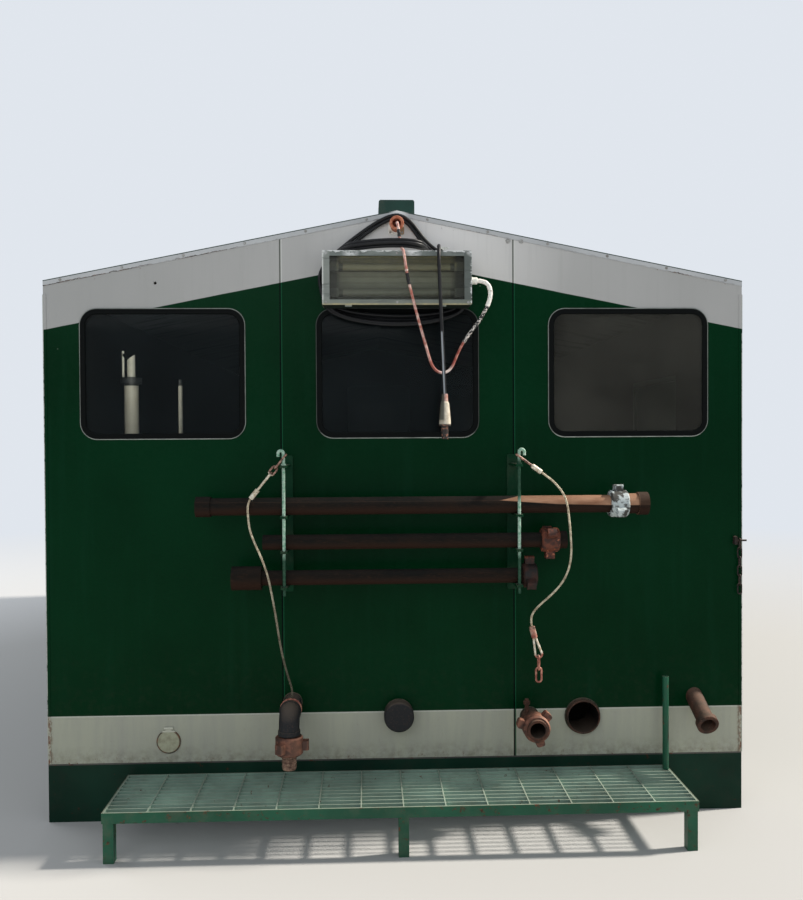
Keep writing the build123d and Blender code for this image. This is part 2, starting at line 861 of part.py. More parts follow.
# Cable nipple at the top of the gable, a bell-mouthed pipe on a plate.
with BuildPart() as cable_nipple:
    with BuildSketch(outward(nipple_at)):
        RectangleRounded(nipple_plate, nipple_plate, 8)
    extrude(amount=nipple_plate_thickness)
    with BuildSketch(outward(nipple_at)):
        Circle(nipple_neck)
    extrude(amount=nipple_reach)
    with BuildSketch(outward(nipple_at, nipple_reach - nipple_rim)):
        Circle(nipple_radius)
    extrude(amount=nipple_rim)
    with BuildSketch(outward(nipple_at, nipple_reach)):
        Circle(nipple_bore)
    extrude(amount=nipple_floor - nipple_reach, mode=Mode.SUBTRACT)
    rim = cable_nipple.faces().sort_by(Axis.Y)[0].edges()
    fillet(rim, 4)
save(cable_nipple, "cable_nipple")


# Radii of a cord's bends: as large as the shorter run beside each point allows.
def bend_radii(points):
    radii = []
    for before, corner, after in zip(points, points[1:], points[2:]):
        run_in = Vector(*corner) - Vector(*before)
        run_out = Vector(*after) - Vector(*corner)
        half_turn = radians(run_in.get_angle(run_out)) / 2
        radii.append(0.45 * min(run_in.length, run_out.length) / tan(half_turn))
    return radii


# A cord's tube along straight runs joined by tangent arcs.
def cord(points, radius, name):
    radii = bend_radii(points)
    with BuildPart() as tube:
        with BuildLine():
            route = FilletPolyline(*points, radius=radii)
        with BuildSketch(Plane(origin=route @ 0, z_dir=route % 0)):
            Circle(radius)
        sweep()
    section = pi * radius**2 * route.length
    print(
        name,
        "length",
        round(route.length),
        "smallest bend",
        round(min(radii)),
        "diameters",
        round(min(radii) / (2 * radius), 1),
        "volume share",
        round(tube.part.volume / section, 4),
    )
    save(tube, name)


# Lamp cable: out of the nipple, over the lamp's front edge, down in a loop and up to the gland.
lamp_cable_route = (
    (nipple_at[0], nipple_floor + seat_gap, nipple_at[1]),
    (nipple_at[0], 108, nipple_at[1]),
    (-2, 146, 2776),
    (2, 164, 2742),
    (6, 163, 2704),
    (10, 167, 2669),
    (14, 185, 2644),
    (20, 214, 2634),
    (26, 240, 2609),
    (31, 247, 2562),
    (44, 240, 2485),
    (62, 234, 2410),
    (84, 231, 2325),
    (106, 229, 2245),
    (130, 226, 2160),
    (148, 222, 2098),
    (164, 217, 2048),
    (194, 208, 2016),
    (236, 196, 2013),
    (268, 184, 2042),
    (288, 175, 2090),
    (316, 164, 2150),
    (354, 151, 2208),
    (398, 140, 2262),
    (438, 127, 2322),
    (467, 114, 2380),
    (477, 107, 2430),
    (468, 106, 2468),
    (441, 106, 2490),
    (lamp_right + gland_reach + seat_gap, gland_depth, gland_height),
)
cord([point(*place) for place in lamp_cable_route], lamp_cable_radius, "lamp_cable")

# Power cord's coil, hung over the nipple and behind the lamp: one solid of its outer shape.
coil_back = rubber_proud + 2 * seat_gap
coil_depth = 2 * power_cord_radius * coil_strands_deep
coil_seat = nipple_at[1] + nipple_neck + seat_gap
coil_crown = coil_seat + 2 * power_cord_radius * coil_strands_wide
coil_inner = (
    (-48, coil_seat),
    (42, coil_seat),
    (150, 2650),
    (290, 2592),
    (330, 2520),
    (330, 2410),
    (290, 2346),
    (10, 2322),
    (-320, 2346),
    (-366, 2420),
    (-368, 2530),
    (-270, 2652),
)
coil_outer = (
    (-60, coil_crown),
    (56, coil_crown),
    (178, 2686),
    (310, 2630),
    (366, 2556),
    (366, 2390),
    (330, 2310),
    (10, 2250),
    (-350, 2308),
    (-408, 2400),
    (-410, 2545),
    (-296, 2690),
)
bundle_route = (
    (-300, 38, 2650),
    (-296, 74, 2656),
    (-282, 114, 2660),
    (-240, 154, 2663),
    (-176, 184, 2668),
    (-98, 199, 2676),
    (-5, 204, 2680),
    (68, 198, 2676),
    (120, 172, 2668),
    (146, 124, 2662),
    (154, 78, 2660),
    (158, 38, 2660),
)
with BuildPart() as cable_coil:
    with BuildSketch(outward((0, 0), coil_back)):
        for outline, mode in ((coil_outer, Mode.ADD), (coil_inner, Mode.SUBTRACT)):
            with BuildLine():
                FilletPolyline(*outline, radius=coil_corner, close=True)
            make_face(mode=mode)
    extrude(amount=coil_depth)
    # Some turns pass over the lamp's top in one bundle.
    with BuildLine():
        over = [point(*place) for place in bundle_route]
        arch = FilletPolyline(*over, radius=bend_radii(over))
    with BuildSketch(Plane(origin=arch @ 0, z_dir=arch % 0)):
        Circle(bundle_radius)
    sweep()
save(cable_coil, "cable_coil")

# The cord's free end: over the lamp's top edge and straight down to the plug.
drop_height = 1906.0
coil_front = coil_back + coil_depth
drop_route = (
    (208, coil_front + seat_gap, 2654),
    (208, 112, 2654),
    (206, 162, 2662),
    (203, 208, 2646),
    (200, 240, 2604),
    (199, 249, 2542),
    (226, 242, drop_height + 2 * seat_gap),
)
cord([point(*place) for place in drop_route], power_cord_radius, "cable_drop")
plug_top = point(226, 242, drop_height)

# Plug: a collar, a flared body and a metal shroud, turned about the hanging cord.
plug_profile = (
    (0, 0),
    (15, 0),
    (16, -38),
    (21, -44),
    (24, -70),
    (29, -132),
    (29, -160),
    (18, -160),
    (17, -plug_length),
    (0, -plug_length),
)
with BuildPart() as plug:
    with BuildSketch(Plane(origin=plug_top, x_dir=(1, 0, 0), z_dir=(0, -1, 0))):
        with BuildLine():
            Polyline(*plug_profile, close=True)
        make_face()
    revolve(axis=Axis(plug_top, (0, 0, 1)))
save(plug, "plug")

# Racks: a flat bar on the wall, an arm under each pipe and a guide for the keeper rod.
pipes = (
    (top_pipe_height, top_pipe_radius),
    (middle_pipe_height, low_pipe_radius),
    (bottom_pipe_height, low_pipe_radius),
)
rod_depth = pipe_depth + top_pipe_radius + rod_pipe_gap + rod_radius
arm_reach = rod_depth + rod_radius + 12
arm_tops = [height - radius - seat_gap for height, radius in pipes]
rack_foot = min(arm_tops) - rack_arm_thickness - rack_margin
rack_top = guide_height + rack_margin
with BuildPart() as pipe_racks:
    for rack_x in rack_places:
        with BuildSketch(outward((rack_x, (rack_foot + rack_top) / 2))):
            RectangleRounded(rack_bar_width, rack_top - rack_foot, 10)
        extrude(amount=rack_bar_thickness)
        for arm_top in arm_tops + [guide_height]:
            with BuildSketch(Plane.XY.offset(above(arm_top) - rack_arm_thickness)):
                with Locations((rack_x, -half_length - arm_reach / 2)):
                    RectangleRounded(rack_arm_width, arm_reach, 8)
                with Locations((rack_x, -half_length - arm_reach / 4)):
                    Rectangle(rack_arm_width, arm_reach / 2)
                with Locations((rack_x, -half_length - rod_depth)):
                    Circle(rod_radius + rod_play, mode=Mode.SUBTRACT)
            extrude(amount=rack_arm_thickness)
save(pipe_racks, "pipe_racks")

# Keeper rods: dropped through the arms to a collar on the guide, each with a hooked top.
hook_tip = guide_height + eye_rise + 6.0
shoulder_height = hook_tip + rod_hook_leg
with BuildPart() as keeper_rods:
    for side, rod_x in zip((-1, 1), rack_places):
        foot = point(rod_x, rod_depth, min(arm_tops) - rod_tail)
        shoulder = point(rod_x, rod_depth, shoulder_height)
        crown = point(rod_x + side * rod_hook_radius, rod_depth, shoulder_height + rod_hook_radius)
        turned = point(rod_x + side * 2 * rod_hook_radius, rod_depth, shoulder_height)
        tip = point(rod_x + side * 2 * rod_hook_radius, rod_depth, hook_tip)
        with BuildLine() as rod_path:
            Line(foot, shoulder)
            ThreePointArc(shoulder, crown, turned)
            Line(turned, tip)
        with BuildSketch(Plane(origin=foot, z_dir=(0, 0, 1))):
            Circle(rod_radius)
        sweep(path=rod_path.wires()[0])
        with BuildSketch(Plane(origin=point(rod_x, rod_depth, guide_height + seat_gap), z_dir=(0, 0, 1))):
            Circle(rod_radius + 5)
        extrude(amount=rod_collar)
save(keeper_rods, "keeper_rods")


# A pipe lying along X: steps of outer radius, each up to an x, with a bore right through.
def lying_pipe(height, start, steps, bore):
    axis_at = point(0, pipe_depth, height)
    outline = [(start, 0), (start, steps[0][1])]
    for (stop, radius), (_, following) in zip(steps, steps[1:] + ((None, 0),)):
        outline += [(stop, radius), (stop, following)]
    with BuildPart() as pipe:
        with BuildSketch(Plane(origin=axis_at, x_dir=(1, 0, 0), z_dir=(0, -1, 0))):
            with BuildLine():
                Polyline(*outline, close=True)
            make_face()
        revolve(axis=Axis(axis_at, (1, 0, 0)))
        with BuildSketch(Plane(origin=(start, axis_at[1], axis_at[2]), x_dir=(0, 1, 0), z_dir=(1, 0, 0))):
            Circle(bore)
        extrude(amount=steps[-1][0] - start, mode=Mode.SUBTRACT)
    return pipe.part


top_bore = top_pipe_radius - pipe_wall
low_bore = low_pipe_radius - pipe_wall
stored = (
    lying_pipe(
        top_pipe_height,
        top_pipe_ends[0],
        (
            (top_pipe_ends[0] + top_pipe_socket, top_pipe_radius + socket_rise),
            (top_pipe_ends[1] - top_pipe_hub, top_pipe_radius),
            (top_pipe_ends[1] - top_pipe_hub / 2, top_pipe_radius + socket_rise),
            (top_pipe_ends[1], top_pipe_radius + 2 * socket_rise),
        ),
        top_bore,
    ),
    lying_pipe(
        middle_pipe_height,
        middle_pipe_ends[0],
        (
            (middle_pipe_ends[1] - middle_pipe_hub, low_pipe_radius),
            (middle_pipe_ends[1], low_pipe_radius + socket_rise),
        ),
        low_bore,
    ),
    lying_pipe(
        bottom_pipe_height,
        bottom_pipe_ends[0],
        (
            (bottom_pipe_ends[0] + bottom_pipe_sleeve, low_pipe_radius + sleeve_rise),
            (bottom_pipe_ends[1], low_pipe_radius),
        ),
        low_bore,
    ),
)
with BuildPart() as stored_pipes:
    for pipe in stored:
        add(pipe)
save(stored_pipes, "stored_pipes")


# A wing nut about a pipe: a ring with three hammer lugs, from a plane at its back face.
def wing_nut(plane, bore, length, turn):
    body_radius = bore + nut_wall
    lug_root = nut_wall / 2
    with BuildPart() as nut:
        with BuildSketch(plane):
            Circle(body_radius)
        extrude(amount=length)
        chamfer(nut.edges().filter_by(GeomType.CIRCLE), nut_chamfer)
        with BuildSketch(plane.offset((length - lug_length) / 2)):
            with PolarLocations(0, lug_count, start_angle=turn):
                with Locations(((body_radius + lug_reach - lug_root) / 2, 0)):
                    RectangleRounded(lug_reach - body_radius + lug_root, lug_width, lug_root - 1)
        extrude(amount=lug_length)
        with BuildSketch(plane):
            Circle(bore)
        extrude(amount=length, mode=Mode.SUBTRACT)
    return nut.part


def along_x(x, height):
    return Plane(origin=point(x, pipe_depth, height), x_dir=(0, 1, 0), z_dir=(1, 0, 0))


# A pipe stub through the front wall: outer radius steps out from the inside end, and a bore.
def stub(at, steps, bore, name):
    start = -(wall_thickness + stub_inside)
    with BuildPart() as piece:
        for reach, radius in steps:
            with BuildSketch(outward(at, start)):
                Circle(radius)
            extrude(amount=reach - start)
        with BuildSketch(outward(at, start)):
            Circle(bore)
        extrude(amount=max(reach for reach, radius in steps) - start, mode=Mode.SUBTRACT)
        rim = piece.faces().sort_by(Axis.Y)[0].edges()
        chamfer(rim, 2)
    save(piece, name)


stub(suction_at, ((suction_reach, suction_radius),), suction_radius - suction_wall, "suction_stub")
blank_pipe_end = blank_reach - blank_cap_wall - seat_gap
stub(blank_at, ((blank_pipe_end, blank_radius),), blank_radius - stub_wall, "blank_stub")
with BuildPart() as side_stub:
    with BuildSketch(side_stub_plane.offset(-wall_thickness - stub_inside)):
        Circle(side_stub_radius)
    extrude(amount=wall_thickness + stub_inside + side_stub_reach)
    with BuildSketch(side_stub_plane.offset(side_stub_reach - side_collar_length)):
        Circle(side_collar_radius)
    extrude(amount=side_collar_length)
    chamfer(side_stub.faces().sort_by(Axis.Y)[0].edges(), 3)
    with BuildSketch(side_stub_plane.offset(-wall_thickness - stub_inside)):
        Circle(side_stub_radius - stub_wall)
    extrude(amount=wall_thickness + stub_inside + side_stub_reach, mode=Mode.SUBTRACT)
save(side_stub, "side_stub")

# A cap with a rounded front closes the middle pipe.
with BuildPart() as blank_cap:
    with BuildSketch(outward(blank_at, blank_reach - blank_cap_length)):
        Circle(blank_radius + blank_cap_wall)
    extrude(amount=blank_cap_length)
    fillet(blank_cap.faces().sort_by(Axis.Y)[0].edges(), 1.5 * blank_cap_wall)
    with BuildSketch(outward(blank_at, blank_reach - blank_cap_length)):
        Circle(blank_radius + seat_gap)
    extrude(amount=blank_cap_length - blank_cap_wall, mode=Mode.SUBTRACT)
save(blank_cap, "blank_cap")

with BuildPart() as union_stub:
    inside = wall_thickness + stub_inside
    for start, stop, radius in (
        (-inside, union_reach, union_pipe_radius),
        (union_reach - union_collar, union_reach, union_pipe_radius + union_collar_rise),
    ):
        with BuildSketch(outward(union_at, start)):
            Circle(radius)
        extrude(amount=stop - start)
    # A small bleed valve stands on the pipe.
    for start, stop, radius in (
        (union_at[1], valve_height, valve_radius),
        (valve_height - 2.5 * valve_radius, valve_height - valve_radius, 1.6 * valve_radius),
    ):
        with BuildSketch(Plane(origin=point(valve_at[0], valve_at[1], start), z_dir=(0, 0, 1))):
            Circle(radius)
        extrude(amount=stop - start)
    with BuildSketch(outward(union_at, -inside)):
        Circle(union_pipe_radius - stub_wall)
    extrude(amount=inside + union_reach, mode=Mode.SUBTRACT)
    chamfer(union_stub.faces().sort_by(Axis.Y)[0].edges(), 2)
save(union_stub, "union_stub")

union_nut_start = union_reach - union_collar - nut_length - seat_gap
elbow_foot = point(elbow_at[0], elbow_reach, elbow_nut_height)
elbow_nut_plane = Plane(origin=elbow_foot, x_dir=(1, 0, 0), z_dir=(0, 0, -1))
top_nut_x = top_pipe_ends[1] - top_pipe_hub - nut_length - seat_gap
middle_nut_x = middle_pipe_ends[1] - middle_pipe_hub - nut_length - seat_gap
bottom_nut_x = bottom_pipe_ends[1] - short_nut_length
nuts = (
    wing_nut(along_x(top_nut_x, top_pipe_height), top_pipe_radius + seat_gap, nut_length, 90),
    wing_nut(along_x(middle_nut_x, middle_pipe_height), low_pipe_radius + seat_gap, nut_length, 30),
    wing_nut(along_x(bottom_nut_x, bottom_pipe_height), low_pipe_radius + seat_gap, short_nut_length, 90),
    wing_nut(outward(union_at, union_nut_start), union_pipe_radius + seat_gap, nut_length, 45),
    wing_nut(elbow_nut_plane, elbow_radius + seat_gap, nut_length, 0),
)
with BuildPart() as wing_nuts:
    for nut in nuts:
        add(nut)
save(wing_nuts, "wing_nuts")

# Elbow: a pipe out from the wall, a thicker bend with a band at each end, and down to the union.
elbow_inside = wall_thickness + stub_inside
tail_top = elbow_nut_height - nut_length + elbow_seat - seat_gap
tail_length = tail_top - elbow_tail_foot
with BuildPart() as elbow_stub:
    start = point(elbow_at[0], -elbow_inside, elbow_at[1])
    bend_in = point(elbow_at[0], elbow_reach - elbow_bend, elbow_at[1])
    shift = elbow_bend * (1 - sqrt(0.5))
    bend_mid = point(elbow_at[0], elbow_reach - shift, elbow_at[1] - shift)
    bend_out = point(elbow_at[0], elbow_reach, elbow_at[1] - elbow_bend)
    end = point(elbow_at[0], elbow_reach, tail_top + seat_gap)
    with BuildLine() as elbow_path:
        Line(start, bend_in)
        ThreePointArc(bend_in, bend_mid, bend_out)
        Line(bend_out, end)
    with BuildLine() as fitting_path:
        ThreePointArc(bend_in, bend_mid, bend_out)
    with BuildSketch(Plane(origin=start, x_dir=(1, 0, 0), z_dir=(0, -1, 0))):
        Circle(elbow_radius)
    sweep(path=elbow_path.wires()[0])
    with BuildSketch(Plane(origin=bend_in, x_dir=(1, 0, 0), z_dir=(0, -1, 0))):
        Circle(elbow_radius + elbow_jacket)
    sweep(path=fitting_path.wires()[0])
    for at, heading in ((bend_in, (0, 1, 0)), (bend_out, (0, 0, -1))):
        with BuildSketch(Plane(origin=at, x_dir=(1, 0, 0), z_dir=heading)):
            Circle(elbow_radius + elbow_jacket + elbow_band_rise)
        extrude(amount=elbow_band)
    with BuildSketch(Plane(origin=start, x_dir=(1, 0, 0), z_dir=(0, -1, 0))):
        Circle(elbow_radius - stub_wall)
    sweep(path=elbow_path.wires()[0], mode=Mode.SUBTRACT)
save(elbow_stub, "elbow_stub")

# Hose tail below the elbow's union: a flanged shank with barbs, turned about its axis.
tail_origin = point(elbow_at[0], elbow_reach, tail_top)
tail_bore = elbow_tail_radius - stub_wall
tail_outline = [(tail_bore, 0), (elbow_radius, 0), (elbow_radius, -10), (elbow_tail_radius, -10)]
first_crest = tail_length - barb_count * barb_pitch
tail_outline.append((elbow_tail_radius, -first_crest))
for step in range(barb_count):
    crest = first_crest + step * barb_pitch
    tail_outline += [(elbow_tail_radius + barb_height, -crest), (elbow_tail_radius, -crest - barb_pitch)]
tail_outline.append((tail_bore, -tail_length))
with BuildPart() as hose_tail:
    with BuildSketch(Plane(origin=tail_origin, x_dir=(1, 0, 0), z_dir=(0, -1, 0))):
        with BuildLine():
            Polyline(*tail_outline, close=True)
        make_face()
    revolve(axis=Axis(tail_origin, (0, 0, 1)))
save(hose_tail, "hose_tail")

# Round access cover low on the left, hung from a hinge barrel above it.
with BuildPart() as round_cover:
    with BuildSketch(outward(cover_at)):
        Circle(cover_radius)
        with Locations((0, cover_radius)):
            Rectangle(cover_hinge_leaf, 2 * cover_hinge_radius)
    extrude(amount=cover_thickness)
    chamfer(round_cover.faces().sort_by(Axis.Y)[0].edges(), 2)
    hinge_start = point(
        cover_at[0] - cover_hinge_length / 2, cover_hinge_radius, cover_at[1] + cover_radius + cover_hinge_radius
    )
    with BuildSketch(Plane(origin=hinge_start, x_dir=(0, 1, 0), z_dir=(1, 0, 0))):
        Circle(cover_hinge_radius)
    extrude(amount=cover_hinge_length)
save(round_cover, "round_cover")

# Porch: a box-section frame on legs, with bar grating dropped into it.
porch_top = skid_height - porch_drop
leg_front = -half_length - porch_depth + porch_rail_sheet + leg_size / 2
post_x = porch_half_width - porch_rail_sheet - post_radius
with BuildPart() as porch_frame:
    with BuildSketch(Plane.XY.offset(porch_top - porch_rail)):
        with Locations((0, -half_length - porch_depth / 2)):
            Rectangle(2 * porch_half_width, porch_depth)
            Rectangle(2 * (porch_half_width - porch_rail_sheet), porch_depth - 2 * porch_rail_sheet, mode=Mode.SUBTRACT)
    extrude(amount=porch_rail)
    with BuildSketch(Plane.XY.offset(porch_top - porch_rail)):
        with Locations((0, -half_length - porch_depth / 2)):
            Rectangle(2 * porch_half_width, porch_depth)
            Rectangle(2 * (porch_half_width - porch_rail), porch_depth - 2 * porch_rail, mode=Mode.SUBTRACT)
    extrude(amount=porch_rail - grating_height - seat_gap)
    with BuildSketch(Plane.XY):
        with Locations(
            (-(porch_half_width - porch_rail_sheet - leg_size / 2), leg_front),
            (0, leg_front),
            (porch_half_width - porch_rail_sheet - leg_size / 2, leg_front),
        ):
            Rectangle(leg_size, leg_size)
    extrude(amount=porch_top - porch_rail)
    with BuildSketch(Plane(origin=point(post_x, post_depth, -porch_drop), z_dir=(0, 0, 1))):
        Circle(post_radius)
    extrude(amount=post_top + porch_drop)
    with BuildSketch(Plane(origin=point(post_x, post_depth, 0), z_dir=(0, 0, 1))):
        Circle(post_radius - 3)
    extrude(amount=post_top, mode=Mode.SUBTRACT)
save(porch_frame, "porch_frame")

grating_width = 2 * (porch_half_width - porch_rail_sheet) - 2 * seat_gap
grating_depth = porch_depth - 2 * porch_rail_sheet - 2 * seat_gap
bar_gaps = int((grating_depth - grating_bar) // grating_pitch)
cross_gaps = int((grating_width - grating_bar) // grating_cross_pitch)
bar_step = (grating_depth - grating_bar) / bar_gaps
cross_step = (grating_width - grating_bar) / cross_gaps
with BuildPart() as porch_grating:
    with BuildSketch(Plane.XY.offset(porch_top - grating_height)):
        with Locations((0, -half_length - porch_depth / 2)):
            Rectangle(grating_width, grating_depth)
            with GridLocations(cross_step, bar_step, cross_gaps, bar_gaps):
                Rectangle(cross_step - grating_bar, bar_step - grating_bar, mode=Mode.SUBTRACT)
    extrude(amount=grating_height)
save(porch_grating, "porch_grating")

chain_x = half_width - chain_inset
chain_depth = link_inner_width / 2 + 2 * link_wire + chain_bar_radius


# A round-wire link lies in the plane given, its long way along the plane's y, about its middle.
def round_link(plane, wire_radius, inner_length, inner_width):
    straight = (inner_length - inner_width) / 2
    bend = inner_width / 2 + wire_radius
    with BuildPart() as link:
        with BuildLine(plane) as loop:
            Line((bend, -straight), (bend, straight))
            ThreePointArc((bend, straight), (0, straight + bend), (-bend, straight))
            Line((-bend, straight), (-bend, -straight))
            ThreePointArc((-bend, -straight), (0, -straight - bend), (bend, -straight))
        wire = loop.wires()[0]
        with BuildSketch(Plane(origin=wire @ 0, z_dir=wire % 0)):
            Circle(wire_radius)
        sweep(path=wire)
    return link.part


first_link = chain_height + chain_bar_radius + seat_gap - link_inner_length / 2
link_pitch = link_inner_length - seat_gap
links = []
for step in range(link_count):
    middle = point(chain_x, chain_depth, first_link - step * link_pitch)
    facing = (1, 0, 0) if step % 2 == 0 else (0, -1, 0)
    across = (0, 1, 0) if step % 2 == 0 else (1, 0, 0)
    plane = Plane(origin=middle, x_dir=across, z_dir=facing)
    links.append(round_link(plane, link_wire, link_inner_length, link_inner_width))

# Hold-back chain at the right corner: a lug with a cross bar, and links that hang in turn.
with BuildPart() as corner_chain:
    with BuildSketch(outward((chain_x - 22, chain_height))):
        RectangleRounded(16, 44, 5)
    extrude(amount=chain_depth + chain_bar_radius + 4)
    bar_start = point(chain_x - 22, chain_depth, chain_height)
    with BuildSketch(Plane(origin=bar_start, x_dir=(0, 1, 0), z_dir=(1, 0, 0))):
        Circle(chain_bar_radius)
    extrude(amount=58)
    for link in links:
        add(link)
save(corner_chain, "corner_chain")


# A sling's end: an eye, folded back past the point given, in the plane of the pull and a direction across.
def sling_eye(at, pull, reach, across, back=eye_back):
    direction = Vector(*pull).normalized()
    plane = Plane(origin=at, x_dir=direction, z_dir=direction.cross(Vector(*across)))
    gap = rope_radius + seat_gap / 2
    with BuildPart() as eye:
        with BuildLine(plane) as loop:
            FilletPolyline(
                (reach, gap),
                (-back, eye_half_width),
                (-back, -eye_half_width),
                (reach, -gap),
                radius=eye_bend,
            )
        wire = loop.wires()[0]
        with BuildSketch(Plane(origin=wire @ 0, z_dir=wire % 0)):
            Circle(rope_radius)
        sweep(path=wire)
    return eye.part


# A pressed ferrule on the rope, along the pull from the eye's strands.
def ferrule(at, pull, across):
    direction = Vector(*pull).normalized()
    with BuildPart() as sleeve:
        with BuildSketch(Plane(origin=at, x_dir=across, z_dir=direction)):
            SlotOverall(4 * rope_radius + 8, 2 * ferrule_radius)
        extrude(amount=ferrule_length)
        fillet(sleeve.faces().sort_by(SortBy.AREA)[:2].edges(), 3)
    return sleeve.part


def pulled(at, pull, reach):
    moved = Vector(*at) + Vector(*pull).normalized() * reach
    return (moved.X, moved.Y, moved.Z)


# Distance along a pull at which a wire's middle passes snugly behind a keeper rod.
def behind_rod(pull, wire_radius):
    return (rod_radius + wire_radius + seat_gap) * Vector(*pull).length / abs(pull[0])


# The slings' upper ends lie about the keeper rods on the guides, the left one through two links.
left_pull = (-134, 0, -165)
right_pull = (106, 0, -76)
to_wall = (0, 1, 0)
eye_height = guide_height + eye_rise
left_end_at = point(rack_places[0], rod_depth, eye_height)
right_eye_at = point(rack_places[1], rod_depth, eye_height)
eye_reach = (96.0, 80.0)
first_end = sling_link_lengths[0] + sling_link_wire - behind_rod(left_pull, sling_link_wire)
second_end = first_end - seat_gap + sling_link_lengths[1]
left_axis = Vector(*left_pull).normalized()
left_face = left_axis.cross(Vector(*to_wall))
link_planes = (
    Plane(
        origin=pulled(left_end_at, left_pull, first_end - sling_link_lengths[0] / 2),
        x_dir=to_wall,
        z_dir=left_face,
    ),
    Plane(
        origin=pulled(left_end_at, left_pull, second_end - sling_link_lengths[1] / 2),
        x_dir=left_face,
        z_dir=to_wall,
    ),
)
left_eye_back = rope_radius + sling_link_wire + 1
left_eye_at = pulled(left_end_at, left_pull, second_end - seat_gap - rope_radius + left_eye_back)
left_ferrule_at = pulled(left_eye_at, left_pull, eye_reach[0] + seat_gap)
right_ferrule_at = pulled(right_eye_at, right_pull, eye_reach[1] + seat_gap)
left_rope_start = pulled(left_ferrule_at, left_pull, ferrule_length + seat_gap)
right_rope_start = pulled(right_ferrule_at, right_pull, ferrule_length + seat_gap)
ring_at = point(elbow_at[0], ring_depth, elbow_at[1])
ring_top = elbow_at[1] + elbow_radius + seat_gap + 2 * ring_wire

left_sling_points = (
    (-776, 232, 1298),
    (-770, 240, 1234),
    (-745, 243, 1168),
    (-710, 243, 1092),
    (-675, 241, 1008),
    (-644, 241, 920),
    (-613, 240, 800),
    (-590, 232, 690),
    (-572, 214, 592),
    (-560, 186, 508),
    (-553, 156, 444),
    (-552, 134, 400),
    (-554, ring_depth, ring_top + seat_gap),
)
left_route = [left_rope_start, pulled(left_rope_start, left_pull, 44)]
left_route += [point(*place) for place in left_sling_points]
cord(left_route, rope_radius, "left_sling")

right_sling_points = (
    (828, 238, 1375),
    (848, 242, 1280),
    (856, 243, 1190),
    (860, 243, 1105),
    (845, 243, 1022),
    (806, 243, 955),
    (756, 243, 900),
    (702, 243, 858),
    (664, 243, 816),
    (650, 243, 773),
)
right_route = [right_rope_start, pulled(right_rope_start, right_pull, 30)]
right_route += [point(*place) for place in right_sling_points]
lower_pull = (22, 0, -90)
right_end = pulled(right_route[-1], lower_pull, 38)
cord(right_route + [right_end], rope_radius, "right_sling")

lower_ferrule_at = pulled(right_end, lower_pull, seat_gap)
lower_eye_top = pulled(lower_ferrule_at, lower_pull, ferrule_length + seat_gap)
lower_eye_at = pulled(lower_eye_top, lower_pull, eye_reach[1])
upward_pull = tuple(-part for part in lower_pull)
sideways = (1, 0, 0)
fold_at = Vector(*pulled(lower_eye_at, lower_pull, eye_back - eye_bend))
fold_at -= Vector(0, 0, eye_bend - rope_radius - seat_gap)
hanging_planes = []
for step in range(2):
    centre = fold_at - Vector(0, 0, hanging_link_length / 2 + step * (hanging_link_length - seat_gap))
    facing = sideways if step == 0 else (0, -1, 0)
    across = to_wall if step == 0 else sideways
    hanging_planes.append(Plane(origin=centre, x_dir=across, z_dir=facing))
fittings = (
    round_link(link_planes[0], sling_link_wire, sling_link_lengths[0], sling_link_width),
    round_link(link_planes[1], sling_link_wire, sling_link_lengths[1], sling_link_width - 8),
    sling_eye(left_eye_at, left_pull, eye_reach[0], to_wall, left_eye_back),
    ferrule(left_ferrule_at, left_pull, to_wall),
    sling_eye(right_eye_at, right_pull, eye_reach[1], to_wall, behind_rod(right_pull, rope_radius)),
    ferrule(right_ferrule_at, right_pull, to_wall),
    ferrule(lower_ferrule_at, lower_pull, Vector(*lower_pull).cross(Vector(*to_wall))),
    sling_eye(lower_eye_at, upward_pull, eye_reach[1], Vector(*lower_pull).cross(Vector(*to_wall))),
    round_link(hanging_planes[0], sling_link_wire, hanging_link_length, hanging_link_width),
    round_link(hanging_planes[1], sling_link_wire, hanging_link_length, hanging_link_width),
)
with BuildPart() as sling_fittings:
    for piece in fittings:
        add(piece)
    # A ring round the elbow's pipe takes the left sling's lower end.
    with BuildSketch(Plane(origin=ring_at, x_dir=(1, 0, 0), z_dir=(0, 0, 1))):
        with Locations((elbow_radius + seat_gap + ring_wire, 0)):
            Circle(ring_wire)
    revolve(axis=Axis(ring_at, (0, 1, 0)))
save(sling_fittings, "sling_fittings")
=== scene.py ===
import bmesh
import bpy
import json
from math import atan, cos, radians, sin, tau
from mathutils import Matrix, Vector


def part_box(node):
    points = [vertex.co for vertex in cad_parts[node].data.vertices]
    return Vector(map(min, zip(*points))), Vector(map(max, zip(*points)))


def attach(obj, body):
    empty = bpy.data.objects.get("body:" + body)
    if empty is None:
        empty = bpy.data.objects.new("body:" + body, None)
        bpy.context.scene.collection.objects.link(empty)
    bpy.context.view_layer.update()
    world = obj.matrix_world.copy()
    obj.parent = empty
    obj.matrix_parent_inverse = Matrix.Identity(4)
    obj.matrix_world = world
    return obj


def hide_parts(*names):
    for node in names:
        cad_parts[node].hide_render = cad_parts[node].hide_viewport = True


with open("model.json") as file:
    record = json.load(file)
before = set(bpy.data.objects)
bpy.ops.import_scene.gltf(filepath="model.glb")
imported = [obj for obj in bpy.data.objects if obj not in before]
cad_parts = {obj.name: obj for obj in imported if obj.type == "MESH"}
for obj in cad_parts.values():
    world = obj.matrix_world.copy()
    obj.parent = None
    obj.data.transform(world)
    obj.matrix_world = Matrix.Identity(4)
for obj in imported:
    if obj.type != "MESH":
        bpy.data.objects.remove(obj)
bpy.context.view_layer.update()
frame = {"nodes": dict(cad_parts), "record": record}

nodes = frame["nodes"]
scene = bpy.context.scene

